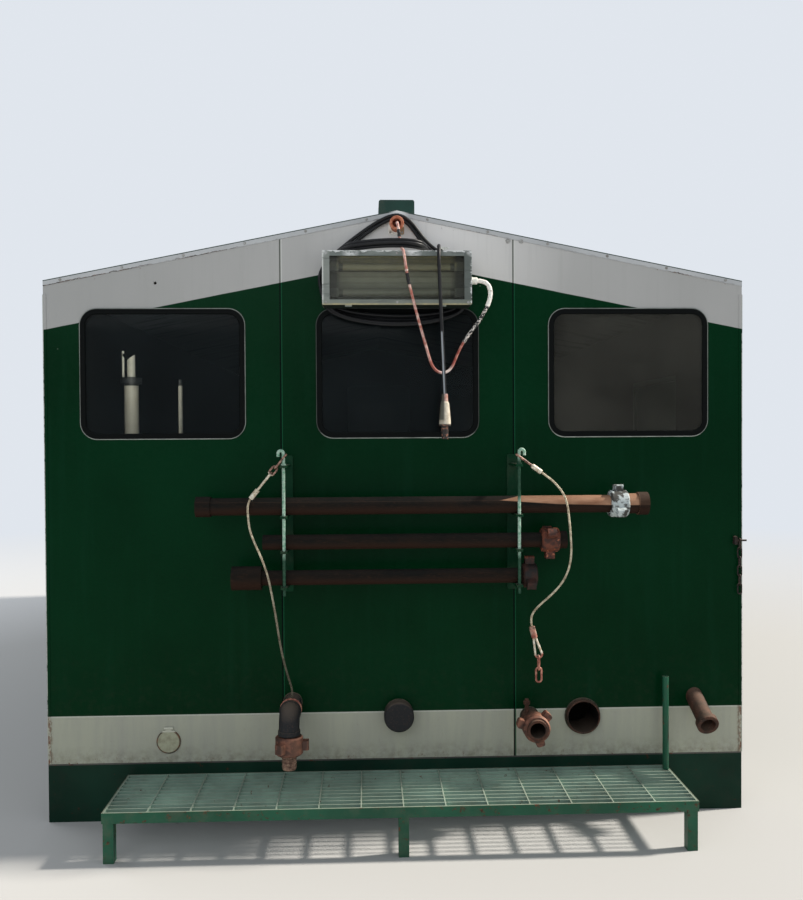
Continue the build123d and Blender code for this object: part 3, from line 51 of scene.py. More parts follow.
# The building's own sizes, in metres
shell = {
    "halfWidth": 1.8288,
    "halfLength": 3.6576,
    "skidTop": 0.305,
    "eave": 2.812,
    "ridge": 3.177,
    "sheet": 1.2192,
    "gableBand": 0.25,
    "baseBand": 0.553,
}
slope = (shell["ridge"] - shell["eave"]) / shell["halfWidth"]
print("stage: frame loaded,", len(nodes), "nodes")


# A place in front of the front wall, from millimetres across, out and above the skid's top.
def place(across, out, up):
    return (across / 1000, -(shell["halfLength"] + out / 1000), shell["skidTop"] + up / 1000)


# A surface made of shader nodes, read at places on the building itself.
class Finish:
    def __init__(self, name, colour, rough=0.5, metal=0.0, gloss=0.5):
        self.material = bpy.data.materials.new(name)
        self.material.use_nodes = True
        self.nodes = self.material.node_tree.nodes
        self.links = self.material.node_tree.links
        self.shader = self.nodes["Principled BSDF"]
        self.set("Base Color", colour)
        self.set("Roughness", rough)
        self.set("Metallic", metal)
        self.set("Specular IOR Level", gloss)
        self.where = self.nodes.new("ShaderNodeTexCoord").outputs["Object"]
        self.x, self.y, self.z = self.parts(self.where)
        facing = self.parts(self.nodes.new("ShaderNodeNewGeometry").outputs["Normal"])
        self.aside, self.upward = facing[0], facing[2]

    def feed(self, socket, value):
        if isinstance(value, bpy.types.NodeSocket):
            self.links.new(value, socket)
        elif socket.type == "RGBA":
            socket.default_value = (*value, 1)
        else:
            socket.default_value = value

    def set(self, name, value):
        self.feed(self.shader.inputs[name], value)

    # A node with its inputs fed, by name or by number.
    def add(self, kind, inputs, **settings):
        node = self.nodes.new(kind)
        for key, value in settings.items():
            setattr(node, key, value)
        for key, value in inputs.items():
            self.feed(node.inputs[key], value)
        return node

    def parts(self, vector):
        return self.add("ShaderNodeSeparateXYZ", {0: vector}).outputs

    def stretched(self, stretch, shift=(0, 0, 0)):
        inputs = {"Vector": self.where, "Scale": stretch, "Location": shift}
        return self.add("ShaderNodeMapping", inputs).outputs[0]

    def noise(self, scale, detail, stretch=(1, 1, 1), rough=0.55, shift=(0, 0, 0)):
        where = self.stretched(stretch, shift)
        inputs = {"Vector": where, "Scale": scale, "Detail": detail, "Roughness": rough}
        return self.add("ShaderNodeTexNoise", inputs).outputs["Fac"]

    def cells(self, scale):
        inputs = {"Vector": self.stretched((1, 1, 1)), "Scale": scale}
        return self.add("ShaderNodeTexVoronoi", inputs).outputs["Distance"]

    def calc(self, work, first, second=0.0):
        return self.add("ShaderNodeMath", {0: first, 1: second}, operation=work).outputs[0]

    def plus(self, first, second):
        return self.calc("ADD", first, second)

    def minus(self, first, second):
        return self.calc("SUBTRACT", first, second)

    def times(self, first, *others):
        for other in others:
            first = self.calc("MULTIPLY", first, other)
        return first

    def absolute(self, value):
        return self.calc("ABSOLUTE", value)

    def either(self, first, *others):
        for other in others:
            first = self.calc("MAXIMUM", first, other)
        return first

    # Goes from start to end while a value rises from low to high.
    def span(self, value, low, high, start=0.0, end=1.0):
        inputs = {"Value": value, "From Min": low, "From Max": high, "To Min": start, "To Max": end}
        return self.add("ShaderNodeMapRange", inputs).outputs[0]

    def fall(self, value, low, high):
        return self.span(value, low, high, 1.0, 0.0)

    def between(self, value, low, high, soft=0.002):
        rise = self.span(value, low - soft, low + soft)
        return self.times(rise, self.fall(value, high - soft, high + soft))

    # Noise cut down to patches.
    def patches(self, scale, detail, low, high, start=0.0, end=1.0, **how):
        return self.span(self.noise(scale, detail, **how), low, high, start, end)

    def near(self, spot, reach, soft=0.004):
        node = self.add("ShaderNodeVectorMath", {0: self.where, 1: spot}, operation="DISTANCE")
        return self.fall(node.outputs["Value"], reach - soft, reach + soft)

    # Distance from a line that runs straight out of the front wall.
    def offAxis(self, across, up):
        aside = self.calc("POWER", self.minus(self.x, across), 2.0)
        over = self.calc("POWER", self.minus(self.z, up), 2.0)
        return self.calc("SQRT", self.plus(aside, over))

    def blend(self, mask, under, over):
        return self.add("ShaderNodeMix", {0: mask, 6: under, 7: over}, data_type="RGBA").outputs[2]

    # One colour that turns into another while a value rises from low to high.
    def shade(self, value, low, high, under, over):
        return self.blend(self.span(value, low, high), under, over)

    def paint(self, tone):
        self.tone = tone
        self.set("Base Color", tone)

    # Another colour over what is painted already, as far as the mask lets it through.
    def coat(self, mask, colour):
        self.paint(self.blend(mask, self.tone, colour))

    def bump(self, height, strength, distance):
        node = self.add("ShaderNodeBump", {"Height": height, "Strength": strength, "Distance": distance})
        self.set("Normal", node.outputs["Normal"])
        return self


paintLook = {
    "rough": 0.45,
    "gloss": 0.5,
    "dirt": 0.35,
    "dirtColour": (0.12, 0.11, 0.08),
    "dust": 0.4,
    "dustColour": (0.33, 0.31, 0.25),
    "rust": 0.2,
    "rustScale": 26,
    "rustDark": (0.03, 0.015, 0.01),
    "rustColour": (0.16, 0.06, 0.03),
}


# Paint over steel that has gone dull, dusty and rusty in places.
def wornPaint(name, colour, **own):
    look = {**paintLook, **own}
    finish = Finish(name, colour, look["rough"], gloss=look["gloss"])
    dull = [part * 0.75 for part in colour]
    fresh = [part * 1.22 for part in colour]
    finish.paint(finish.shade(finish.noise(3, 4), 0.35, 0.7, dull, fresh))
    finish.coat(finish.patches(11, 6, 0.5, 0.75, 0.0, look["dirt"], rough=0.65), look["dirtColour"])
    finish.coat(finish.span(finish.upward, 0.3, 0.95, 0.0, look["dust"]), look["dustColour"])
    edge = 0.72 - 0.3 * look["rust"]
    rust = finish.patches(look["rustScale"], 8, edge, edge + 0.06, rough=0.68, shift=(3, 7, 1))
    finish.coat(rust, finish.shade(finish.noise(90, 3), 0.35, 0.7, look["rustDark"], look["rustColour"]))
    finish.set("Roughness", finish.span(rust, 0.0, 1.0, look["rough"], 0.85))
    return finish.bump(finish.plus(finish.times(rust, 0.5), finish.noise(160, 2)), 0.25, 0.0006)


rustLook = {
    "rough": 0.8,
    "gloss": 0.35,
    "scale": 14,
    "stretch": (1, 1, 1),
    "flecks": 0.6,
    "dust": 0.3,
    "dustColour": (0.34, 0.26, 0.19),
    "bores": (),
    "boreShade": (0.003, 0.003, 0.003),
    # Darker patches within the painted sunlight
    "paintedSunlightDark": (0.24, 0.12, 0.07),
}


# Steel rusted all over, from nearly black to orange.
def rustySteel(name, dark, middle, bright, **own):
    look = {**rustLook, **own}
    finish = Finish(name, middle, look["rough"], gloss=look["gloss"])
    patches = finish.noise(look["scale"], 7, look["stretch"], 0.65)
    grain = finish.noise(150, 4, look["stretch"], 0.6)
    finish.paint(finish.shade(patches, 0.38, 0.62, dark, middle))
    finish.coat(finish.span(grain, 0.55, 0.8, 0.0, look["flecks"]), bright)
    if "lowRed" in look:
        finish.coat(finish.span(finish.upward, -0.5, 0.1, 0.7, 0.0), look["lowRed"])
    # Painted sunlight: the lit wedge on the top pipe is painted in, mottled with a darker tone
    if "paintedSunlight" in look:
        paintedSunlight = finish.shade(patches, 0.35, 0.65, look["paintedSunlight"], look["paintedSunlightDark"])
        finish.coat(paintedSunlightWedge(finish), paintedSunlight)
    for across, up, bore in look["bores"]:
        # Painted shade inside the open bores
        inBore = finish.fall(finish.offAxis(across, up), bore - 0.0012, bore - 0.0002)
        finish.coat(inBore, look["boreShade"])
    finish.coat(finish.span(finish.upward, 0.35, 0.98, 0.0, look["dust"]), look["dustColour"])
    finish.set("Roughness", finish.span(patches, 0.3, 0.7, look["rough"] - 0.18, look["rough"] + 0.1))
    return finish.bump(finish.plus(grain, patches), 0.35, 0.0012)


# Painted sunlight: the wedge of sunlight along the right end of the top pipe, between two lines on its
# round.
def paintedSunlightWedge(finish):
    left = finish.span(finish.x, 0.512, 0.8, 0.53, 0.07)
    lowLine = finish.plus(left, finish.span(finish.x, 0.8, 1.07, 0.0, -0.17))
    above = finish.minus(finish.upward, lowLine)
    under = finish.minus(finish.span(finish.x, 0.5, 0.63, 0.5, 1.1), finish.upward)
    wedge = finish.span(finish.calc("MINIMUM", above, under), -0.03, 0.05)
    topPipe = finish.span(finish.z, 1.58, 1.59)
    return finish.times(wedge, topPipe, finish.span(finish.x, 1.214, 1.222, 1.0, 0.12))


wallLook = {
    "green": (0.0003, 0.019, 0.0055),
    "greenLight": (0.0008, 0.029, 0.0092),
    "greenRuns": (0.004, 0.04, 0.018),
    "greenSpecks": (0.03, 0.06, 0.035),
    "greenDots": (0.16, 0.2, 0.16),
    "splash": (0.025, 0.035, 0.02),
    "white": (0.47, 0.468, 0.455),
    "whiteDull": (0.42, 0.42, 0.405),
    "whiteAway": (0.33, 0.335, 0.325),
    # Painted highlight on the band
    "whiteGlare": (0.8, 0.79, 0.77),
    "whiteRuns": (0.28, 0.28, 0.26),
    "glareSpot": (0.24, -shell["halfLength"], 3.02),
    "foot": (0.39, 0.405, 0.325),
    "footDull": (0.34, 0.35, 0.3),
    "footEdge": (0.5, 0.515, 0.46),
    "mud": (0.1, 0.09, 0.055),
    "rust": (0.14, 0.055, 0.028),
    "seamHighlight": ((0.006, 0.07, 0.03), (0.62, 0.63, 0.6)),
    "seamJoint": ((0.0006, 0.005, 0.003), (0.14, 0.15, 0.13)),
    # Painted highlight colour for the corner's edge
    "rim": (0.42, 0.44, 0.4),
    "insideShade": (0.008, 0.008, 0.007),
    "insideShadeDepth": 0.03,
}


# How far a place lies below the slope of the roof.
def underRoof(finish):
    rake = finish.minus(shell["ridge"], finish.times(finish.absolute(finish.x), slope))
    return finish.minus(rake, finish.z)


# Gloss green with runs, specks and pale dots, and splashes low down.
def wallGreen(finish):
    green = finish.shade(finish.noise(1.3, 4), 0.3, 0.72, wallLook["green"], wallLook["greenLight"])
    runs = finish.patches(5.5, 5, 0.55, 0.8, 0.0, 0.3, stretch=(3.2, 3.2, 0.18), rough=0.6)
    green = finish.blend(runs, green, wallLook["greenRuns"])
    specks = finish.patches(210, 2, 0.72, 0.79, 0.0, 0.45, rough=0.4)
    green = finish.blend(specks, green, wallLook["greenSpecks"])
    here = finish.patches(2.1, 3, 0.45, 0.6, 0.0, 0.8, shift=(4, 1, 2))
    dots = finish.times(finish.fall(finish.cells(3.4), 0.009, 0.014), here)
    green = finish.blend(dots, green, wallLook["greenDots"])
    splash = finish.patches(34, 7, 0.5, 0.75, 0.0, 0.35, rough=0.7)
    low = finish.fall(finish.z, 0.56, 0.95)
    return finish.blend(finish.times(low, splash), green, wallLook["splash"])


# Off-white under the roof, with a painted highlight a little right of the peak, and duller to both sides.
def wallWhite(finish):
    clouds = finish.noise(2.2, 5, (1, 1, 0.5))
    white = finish.shade(clouds, 0.3, 0.75, wallLook["white"], wallLook["whiteDull"])
    toLeft = finish.span(finish.x, -1.5, -0.5, 0.6, 0.0)
    toRight = finish.span(finish.x, 0.5, 1.4, 0.0, 0.3)
    white = finish.blend(finish.either(toLeft, toRight), white, wallLook["whiteAway"])
    # Painted highlight: a soft glare on the band a little right of the peak
    glare = finish.near(wallLook["glareSpot"], 0.36, 0.34)
    white = finish.blend(finish.times(glare, 0.85), white, wallLook["whiteGlare"])
    runs = finish.patches(16, 5, 0.52, 0.82, 0.0, 0.3, stretch=(2.4, 2.4, 0.12), rough=0.62)
    return finish.blend(finish.times(runs, 0.6), white, wallLook["whiteRuns"])


# Off-white at the foot, muddy below and with a pale line along its top.
def wallFoot(finish):
    clouds = finish.noise(7, 5, (2.2, 2.2, 0.25), 0.6)
    tone = finish.shade(clouds, 0.42, 0.75, wallLook["foot"], wallLook["footDull"])
    low = finish.span(finish.z, 0.315, 0.4, 0.55, 0.0)
    mud = finish.patches(23, 7, 0.4, 0.7, rough=0.7)
    tone = finish.blend(finish.times(low, mud), tone, wallLook["mud"])
    topLine = finish.between(finish.z, shell["baseBand"] - 0.006, shell["baseBand"], 0.001)
    return finish.blend(topLine, tone, wallLook["footEdge"])


# Where the walls rust: under the roof, along the skid and at the foot of the corners.
def wallRust(finish, grain, gable, foot):
    upper = finish.times(finish.fall(underRoof(finish), 0.03, 0.05), finish.span(grain, 0.64, 0.7))
    low = finish.times(finish.span(finish.z, 0.305, 0.34, 1.0, 0.1), finish.span(grain, 0.6, 0.68), foot)
    cornerX = finish.span(finish.absolute(finish.x), 1.8, 1.825)
    cornerY = finish.span(finish.absolute(finish.y), 3.63, 3.655)
    corner = finish.times(cornerX, cornerY, foot, finish.span(grain, 0.45, 0.55))
    return finish.either(finish.times(upper, gable), low, corner)


# A painted highlight along one side and a dark joint where two sheets meet.
def wallSeams(finish, gable):
    edge = finish.blend(gable, *wallLook["seamHighlight"])
    joint = finish.blend(gable, *wallLook["seamJoint"])
    for seam in (-shell["sheet"] / 2, shell["sheet"] / 2):
        offset = finish.minus(finish.x, seam)
        finish.coat(finish.between(offset, 0.003, 0.008, 0.001), edge)
        finish.coat(finish.between(offset, -0.005, 0.0025, 0.0012), joint)


# Sheets in green with an off-white band under the roof and another at the foot.
def wallPaint(name, edged=False):
    finish = Finish(name, wallLook["green"], 0.3, gloss=0.045)
    edge = finish.minus(underRoof(finish), finish.times(finish.noise(5, 2), 0.004))
    gable = finish.fall(edge, shell["gableBand"] - 0.001, shell["gableBand"] + 0.001)
    foot = finish.fall(finish.z, shell["baseBand"] - 0.001, shell["baseBand"] + 0.001)
    finish.paint(finish.blend(gable, wallGreen(finish), wallWhite(finish)))
    finish.coat(foot, wallFoot(finish))
    grain = finish.noise(75, 6, (1, 1, 0.55), 0.7)
    rust = wallRust(finish, grain, gable, foot)
    finish.coat(rust, wallLook["rust"])
    wallSeams(finish, gable)
    fine = finish.noise(240, 2)
    if edged:
        # Painted highlight along the corner's outer edge, broken up by the grain
        rim = finish.span(finish.absolute(finish.x), 1.8268, 1.8282)
        finish.coat(finish.times(rim, finish.span(grain, 0.35, 0.5)), wallLook["rim"])
        return finish.bump(fine, 0.14, 0.0012)
    # Painted shade: the inner faces of the walls are coloured near black
    deep = []
    for way, half in ((finish.x, shell["halfWidth"]), (finish.y, shell["halfLength"])):
        depth = half - wallLook["insideShadeDepth"]
        deep.append(finish.fall(finish.absolute(way), depth, depth + 0.001))
    inside = finish.times(*deep)
    finish.coat(inside, wallLook["insideShade"])
    dull = finish.either(finish.times(gable, 0.6), finish.times(foot, 0.9), rust, inside)
    rough = finish.patches(30, 4, 0.3, 0.75, 0.2, 0.38)
    finish.set("Roughness", finish.plus(rough, finish.times(dull, 0.35)))
    return finish.bump(finish.plus(finish.times(finish.noise(2.6, 2), 9.0), fine), 0.14, 0.0012)


roofLook = {
    "sheet": ((0.52, 0.53, 0.5), (0.46, 0.47, 0.43)),
    "streaks": (0.29, 0.28, 0.23),
    "laps": (0.22, 0.2, 0.15),
    "grime": (0.3, 0.28, 0.22),
    "rust": (0.2, 0.09, 0.045),
}


# Off-white sheet with rain streaks down its slopes and dust along its laps.
def roofPaint(name):
    finish = Finish(name, (0.5, 0.51, 0.48), 0.5, gloss=0.3)
    finish.paint(finish.shade(finish.noise(0.9, 3, (0.5, 1, 1)), 0.3, 0.7, *roofLook["sheet"]))
    streaks = finish.patches(7, 5, 0.52, 0.78, 0.0, 0.5, stretch=(0.12, 2.0, 1), rough=0.6)
    finish.coat(streaks, roofLook["streaks"])
    along = finish.calc("FRACT", finish.calc("DIVIDE", finish.y, shell["sheet"]))
    lap = finish.absolute(finish.minus(along, 0.5))
    lapDirt = finish.patches(12, 6, 0.38, 0.68, 0.0, 0.8, rough=0.68)
    finish.coat(finish.times(finish.span(lap, 0.44, 0.475), lapDirt), roofLook["laps"])
    outwards = finish.span(finish.absolute(finish.x), 1.2, 1.83, 0.1, 0.6)
    finish.coat(finish.times(outwards, finish.patches(18, 7, 0.45, 0.7, rough=0.7)), roofLook["grime"])
    rust = finish.patches(52, 8, 0.645, 0.685, stretch=(1, 1.6, 1), rough=0.7)
    finish.coat(finish.times(rust, finish.span(lap, 0.3, 0.47, 0.15, 1.0)), roofLook["rust"])
    # Painted shade on the roof's underside
    finish.coat(finish.fall(finish.upward, -0.5, -0.3), wallLook["insideShade"])
    finish.set("Roughness", finish.span(streaks, 0.0, 0.5, 0.42, 0.7))
    return finish.bump(finish.plus(finish.times(finish.noise(3, 2), 6.0), finish.noise(200, 2)), 0.15, 0.001)


trimLook = {
    "grey": ((0.5, 0.515, 0.52), (0.42, 0.435, 0.44)),
    "rust": ((0.035, 0.028, 0.022), (0.15, 0.08, 0.05)),
    "edge": (0.035, 0.06, 0.05),
    # Painted highlight at the peak
    "peak": (0.85, 0.86, 0.84),
    "peakSpot": (0.01, -shell["halfLength"], shell["ridge"] - 0.012),
    "chips": (0.12, 0.07, 0.05),
}


# Grey folded trims, ragged and rusty along the lower edge, with a dark line at the roof's edge and a painted
# highlight at the peak.
def trimPaint(name):
    finish = Finish(name, (0.4, 0.42, 0.42), 0.5, gloss=0.3)
    below = underRoof(finish)
    finish.paint(finish.shade(finish.noise(4, 4, (1, 1, 2)), 0.35, 0.7, *trimLook["grey"]))
    ragged = finish.plus(below, finish.times(finish.patches(34, 7, 0.3, 0.7, -1, 1, rough=0.72), 0.006))
    patchy = finish.patches(3.2, 4, 0.5, 0.6, 0.25, 1.0, shift=(2, 0, 0))
    rust = finish.times(finish.between(ragged, 0.0235, 0.0285, 0.0015), patchy)
    finish.coat(rust, finish.shade(finish.noise(90, 4), 0.45, 0.65, *trimLook["rust"]))
    upright = finish.fall(finish.absolute(finish.upward), 0.5, 0.6)
    finish.coat(finish.times(finish.between(below, -0.004, 0.0025, 0.0008), upright), trimLook["edge"])
    # Painted highlight at the peak, where the two rakes meet
    finish.coat(finish.near(trimLook["peakSpot"], 0.035, 0.02), trimLook["peak"])
    finish.coat(finish.patches(60, 7, 0.69, 0.73, rough=0.7), trimLook["chips"])
    return finish.bump(finish.plus(finish.times(rust, 0.6), finish.noise(160, 3)), 0.25, 0.0008)


rubberLook = {"black": (0.004, 0.005, 0.005), "chalkAndHighlight": (0.022, 0.025, 0.023)}


def rubberFinish(name):
    finish = Finish(name, rubberLook["black"], 0.7, gloss=0.06)
    # On the rubber these are chalky patches, with dust on the faces that look up
    chalkAndHighlight = finish.patches(60, 6, 0.55, 0.8, 0.0, 0.25, rough=0.7)
    dust = finish.span(finish.upward, 0.2, 0.9, 0.0, 0.4)
    finish.paint(finish.blend(finish.either(chalkAndHighlight, dust), rubberLook["black"], rubberLook["chalkAndHighlight"]))
    return finish.bump(finish.noise(300, 3), 0.2, 0.0005)


windowGlassLook = {
    "tint": (0.88, 0.9, 0.88),
    # Near black: painted shade that keeps the inside dark
    "rearTint": (0.03, 0.035, 0.035),
    "dust": (0.06, 0.085, 0.095),
    "brown": (0.16, 0.155, 0.13),
    "thickness": 0.07,
    "toRight": 2.6,  # how many times thicker the dust is at the front's right
    "spots": 0.03,
    "bend": 1.17,  # the refractive index that the shine goes by
    "shineRough": 0.04,
}
lampGlassLook = {
    "tint": (0.88, 0.89, 0.85),
    "rearTint": (0.88, 0.89, 0.85),
    "dust": (0.24, 0.24, 0.2),
    "brown": (0.24, 0.24, 0.2),
    "thickness": 0.08,
    "toRight": 1.0,
    "spots": 0.1,
    "bend": 1.25,
    "shineRough": 0.1,
}


# Two shaders mixed by a mask, the second on top.
def overlaid(finish, mask, under, over):
    return finish.add("ShaderNodeMixShader", {0: mask, 1: under.outputs[0], 2: over.outputs[0]})


# Tinted pane under a film of dust, thicker and browner at the front's right. The rear panes are dark, tinted
# near black as painted shade that keeps the inside dark.
def tintedGlass(name, look):
    finish = Finish(name, look["dust"], 0.3, gloss=0.2)
    film = finish.noise(2.4, 5, (1, 1, 0.7), 0.62)
    wipe = finish.noise(9, 5, (0.5, 0.5, 1.8), 0.6)
    spots = finish.patches(180, 2, 0.68, 0.78, 0.0, look["spots"])
    browned = finish.times(finish.span(finish.x, 0.3, 0.8), finish.fall(finish.y, -0.1, 0.1))
    thick = finish.span(browned, 0.0, 1.0, look["thickness"], look["thickness"] * look["toRight"])
    dust = finish.times(finish.span(finish.plus(film, finish.times(wipe, 0.4)), 0.5, 0.95, 0.4, 1.0), thick)
    finish.paint(finish.blend(browned, look["dust"], look["brown"]))
    finish.set("Roughness", finish.span(film, 0.3, 0.8, 0.3, 0.5))
    # Painted shade: the rear panes let almost no light through
    tint = finish.shade(finish.y, -0.1, 0.1, look["tint"], look["rearTint"])
    clear = finish.add("ShaderNodeBsdfTransparent", {"Color": tint})
    shine = finish.add("ShaderNodeBsdfGlossy", {"Roughness": look["shineRough"]})
    fresnel = finish.add("ShaderNodeFresnel", {"IOR": look["bend"]})
    outward = finish.minus(1.0, finish.nodes.new("ShaderNodeNewGeometry").outputs["Backfacing"])
    coated = overlaid(finish, finish.times(fresnel.outputs[0], outward), clear, shine)
    dusty = overlaid(finish, finish.either(dust, spots), coated, finish.shader)
    finish.feed(finish.nodes["Material Output"].inputs["Surface"], dusty.outputs[0])
    return finish


lampPlace = {
    "left": -0.383,
    "right": 0.368,
    "middle": -0.0075,
    "foot": 2.66,
    "top": 2.932,
    "front": -3.8626,
    "bar": 0.027,
    "stile": 0.037,
}
reflectorLook = {
    "grey": (0.19, 0.205, 0.18),
    "pale": (0.32, 0.32, 0.26),
    "khaki": (0.5, 0.45, 0.25),
    "ribs": (0.11, 0.11, 0.09),
    "ends": (0.02, 0.026, 0.03),
    "dirt": (0.12, 0.12, 0.09),
}


# Dusty reflector in three bands, khaki above and greyer below.
def reflectorFinish(name):
    finish = Finish(name, (0.2, 0.2, 0.15), 0.5, gloss=0.3)
    height = finish.span(finish.z, lampPlace["foot"], lampPlace["top"])
    finish.paint(finish.shade(height, 0.3, 0.6, reflectorLook["grey"], reflectorLook["pale"]))
    finish.coat(finish.span(height, 0.66, 0.76), reflectorLook["khaki"])
    ribs = finish.calc("SINE", finish.times(height, 56))
    finish.coat(finish.span(ribs, 0.2, 1.0, 0.0, 0.35), reflectorLook["ribs"])
    aside = finish.absolute(finish.minus(finish.x, lampPlace["middle"]))
    finish.coat(finish.span(aside, 0.28, 0.31, 0.0, 0.9), reflectorLook["ends"])
    dirt = finish.patches(14, 6, 0.45, 0.75, 0.0, 0.5, stretch=(1, 1, 1.5), rough=0.66)
    finish.coat(dirt, reflectorLook["dirt"])
    return finish.bump(finish.noise(80, 4), 0.15, 0.0006)


lampLook = {
    "metal": ((0.12, 0.14, 0.13), (0.22, 0.245, 0.225)),
    "rightStile": (0.07, 0.085, 0.075),
    "leftStile": (0.28, 0.3, 0.27),
    "leftEdge": (0.62, 0.64, 0.6),
    "foot": (0.22, 0.24, 0.19),
    "scrapes": (0.06, 0.07, 0.065),
    "dust": (0.55, 0.55, 0.5),
    # Pale colour for the painted highlight and the worn chips
    "bare": (0.72, 0.74, 0.72),
    "lip": (0.42, 0.37, 0.2),
    # Painted shade for the underside
    "under": (0.012, 0.02, 0.014),
}


# Weathered aluminium, white along its upper and right edges as painted highlight mixed with worn chips, worn
# at its upper corners, with a yellowish lip below and painted shade on its underside.
def lampMetal(name):
    finish = Finish(name, (0.2, 0.22, 0.2), 0.55, 0.1, gloss=0.35)
    left, right, foot, top = [lampPlace[key] for key in ("left", "right", "foot", "top")]
    clouds = finish.noise(10, 6, (1, 1, 1), 0.65)
    finish.paint(finish.shade(clouds, 0.35, 0.7, *lampLook["metal"]))
    rightStile = finish.span(finish.x, right - lampPlace["stile"] - 0.002, right - lampPlace["stile"])
    finish.coat(finish.times(rightStile, 0.6), lampLook["rightStile"])
    leftStile = finish.fall(finish.x, left + lampPlace["stile"], left + lampPlace["stile"] + 0.002)
    finish.coat(finish.times(leftStile, 0.5), lampLook["leftStile"])
    leftEdge = finish.fall(finish.x, left + 0.003, left + 0.009)
    finish.coat(finish.times(leftEdge, finish.span(clouds, 0.35, 0.5)), lampLook["leftEdge"])
    footBar = finish.span(finish.z, foot + lampPlace["bar"], foot + lampPlace["bar"] - 0.003)
    finish.coat(finish.times(footBar, 0.5), lampLook["foot"])
    scrapes = finish.patches(26, 6, 0.56, 0.68, 0.0, 0.7, stretch=(0.25, 1, 2.2), rough=0.7)
    finish.coat(scrapes, lampLook["scrapes"])
    finish.coat(finish.span(finish.upward, 0.3, 0.9, 0.0, 0.8), lampLook["dust"])
    chips = finish.noise(60, 7, (0.5, 1, 1), 0.7)
    # Painted highlight along the top and right edges, with worn chips
    finish.coat(lampWearAndHighlight(finish, chips), lampLook["bare"])
    lip = finish.between(finish.z, foot - 0.002, foot + 0.008)
    finish.coat(finish.times(lip, finish.span(chips, 0.3, 0.6)), lampLook["lip"])
    # Painted shade on the faces that look down
    finish.coat(finish.fall(finish.upward, -0.85, -0.6), lampLook["under"])
    finish.set("Roughness", finish.span(clouds, 0.3, 0.7, 0.45, 0.65))
    return finish.bump(finish.noise(130, 4), 0.25, 0.0006)


# Painted highlight along the lamp's top and right edges, mixed with chips where its paint has gone, and
# paint gone at its upper corners and where cables lie.
def lampWearAndHighlight(finish, chips):
    front, top = lampPlace["front"], lampPlace["top"]
    topEdge = finish.span(finish.z, top - 0.014, top - 0.002, -0.08, 0.16)
    rightEdge = finish.span(finish.x, lampPlace["right"] - 0.016, lampPlace["right"] - 0.002, -0.08, 0.13)
    worn = finish.span(finish.plus(chips, finish.either(topEdge, rightEdge)), 0.6, 0.66)
    marks = [finish.near((lampPlace[side], front, top), 0.022, 0.012) for side in ("left", "right")]
    marks += [finish.near(place(across, 205, 2627), 0.03, 0.02) for across in (-240, 74)]
    ragged = finish.span(chips, 0.35, 0.5)
    return finish.either(worn, *[finish.times(mark, ragged) for mark in marks])


tubeLook = {
    "film": ((0.2, 0.205, 0.17), (0.15, 0.155, 0.12)),
    "upper": (0.25, 0.235, 0.155),
    "socket": (0.06, 0.062, 0.052),
    "socketReach": 0.272,
}


# Opal tubes between dark sockets, the upper one yellower.
def tubeFinish(name):
    finish = Finish(name, (0.3, 0.3, 0.25), 0.3, gloss=0.4)
    finish.paint(finish.shade(finish.noise(30, 5), 0.4, 0.7, *tubeLook["film"]))
    finish.coat(finish.span(finish.z, 2.79, 2.8), tubeLook["upper"])
    aside = finish.absolute(finish.minus(finish.x, lampPlace["middle"]))
    reach = tubeLook["socketReach"]
    finish.coat(finish.span(aside, reach, reach + 0.002), tubeLook["socket"])
    return finish.bump(finish.noise(300, 2), 0.1, 0.0003)


nippleLook = {
    "ring": ((0.36, 0.095, 0.045), (0.62, 0.27, 0.16)),
    "plate": ((0.82, 0.8, 0.74), (0.5, 0.44, 0.34)),
    # Painted shade on the plate
    "tan": (0.36, 0.24, 0.13),
    "tanSpot": place(34, 6, 2760),
}


# Faint salmon rust on the ring and a whitish plate behind it, with a tan patch of painted shade on the
# plate.
def nippleFinish(name):
    finish = Finish(name, (0.4, 0.15, 0.09), 0.7, gloss=0.3)
    patches = finish.noise(40, 6, rough=0.65)
    ring = finish.shade(patches, 0.42, 0.64, *nippleLook["ring"])
    plate = finish.shade(patches, 0.5, 0.62, *nippleLook["plate"])
    # Painted shade: a tan patch on the plate
    plate = finish.blend(finish.near(nippleLook["tanSpot"], 0.03, 0.006), plate, nippleLook["tan"])
    face = -shell["halfLength"] - 0.0075
    finish.paint(finish.shade(finish.y, face, face + 0.001, ring, plate))
    return finish.bump(finish.plus(patches, finish.noise(200, 4)), 0.4, 0.001)


def plasticFinish(name, colour, dirt, rough):
    finish = Finish(name, colour, rough)
    finish.paint(finish.shade(finish.noise(70, 5, rough=0.65), 0.45, 0.75, colour, dirt))
    return finish.bump(finish.noise(400, 2), 0.12, 0.0003)


# Black sheath, with a ragged pale line painted as a highlight where it hangs in front of the window.
def cordFinish(name, colour, light, chalkAndHighlight):
    finish = Finish(name, colour, 0.45, gloss=0.3)
    wear = finish.patches(55, 5, 0.42, 0.72, rough=0.6)
    finish.paint(finish.blend(wear, colour, light))
    hanging = finish.times(finish.fall(finish.z, 2.515, 2.525), finish.fall(finish.y, -3.87, -3.86))
    lit = finish.times(finish.span(finish.aside, -0.75, -0.55), finish.fall(finish.aside, 0.1, 0.35))
    ragged = finish.patches(30, 6, 0.3, 0.55, 0.5, 1.0, stretch=(1, 1, 0.2), rough=0.6)
    # Painted highlight on the hanging lead
    finish.coat(finish.times(hanging, lit, ragged), chalkAndHighlight)
    finish.set("Roughness", finish.span(wear, 0.0, 1.0, 0.4, 0.6))
    return finish.bump(finish.noise(500, 2), 0.15, 0.0003)


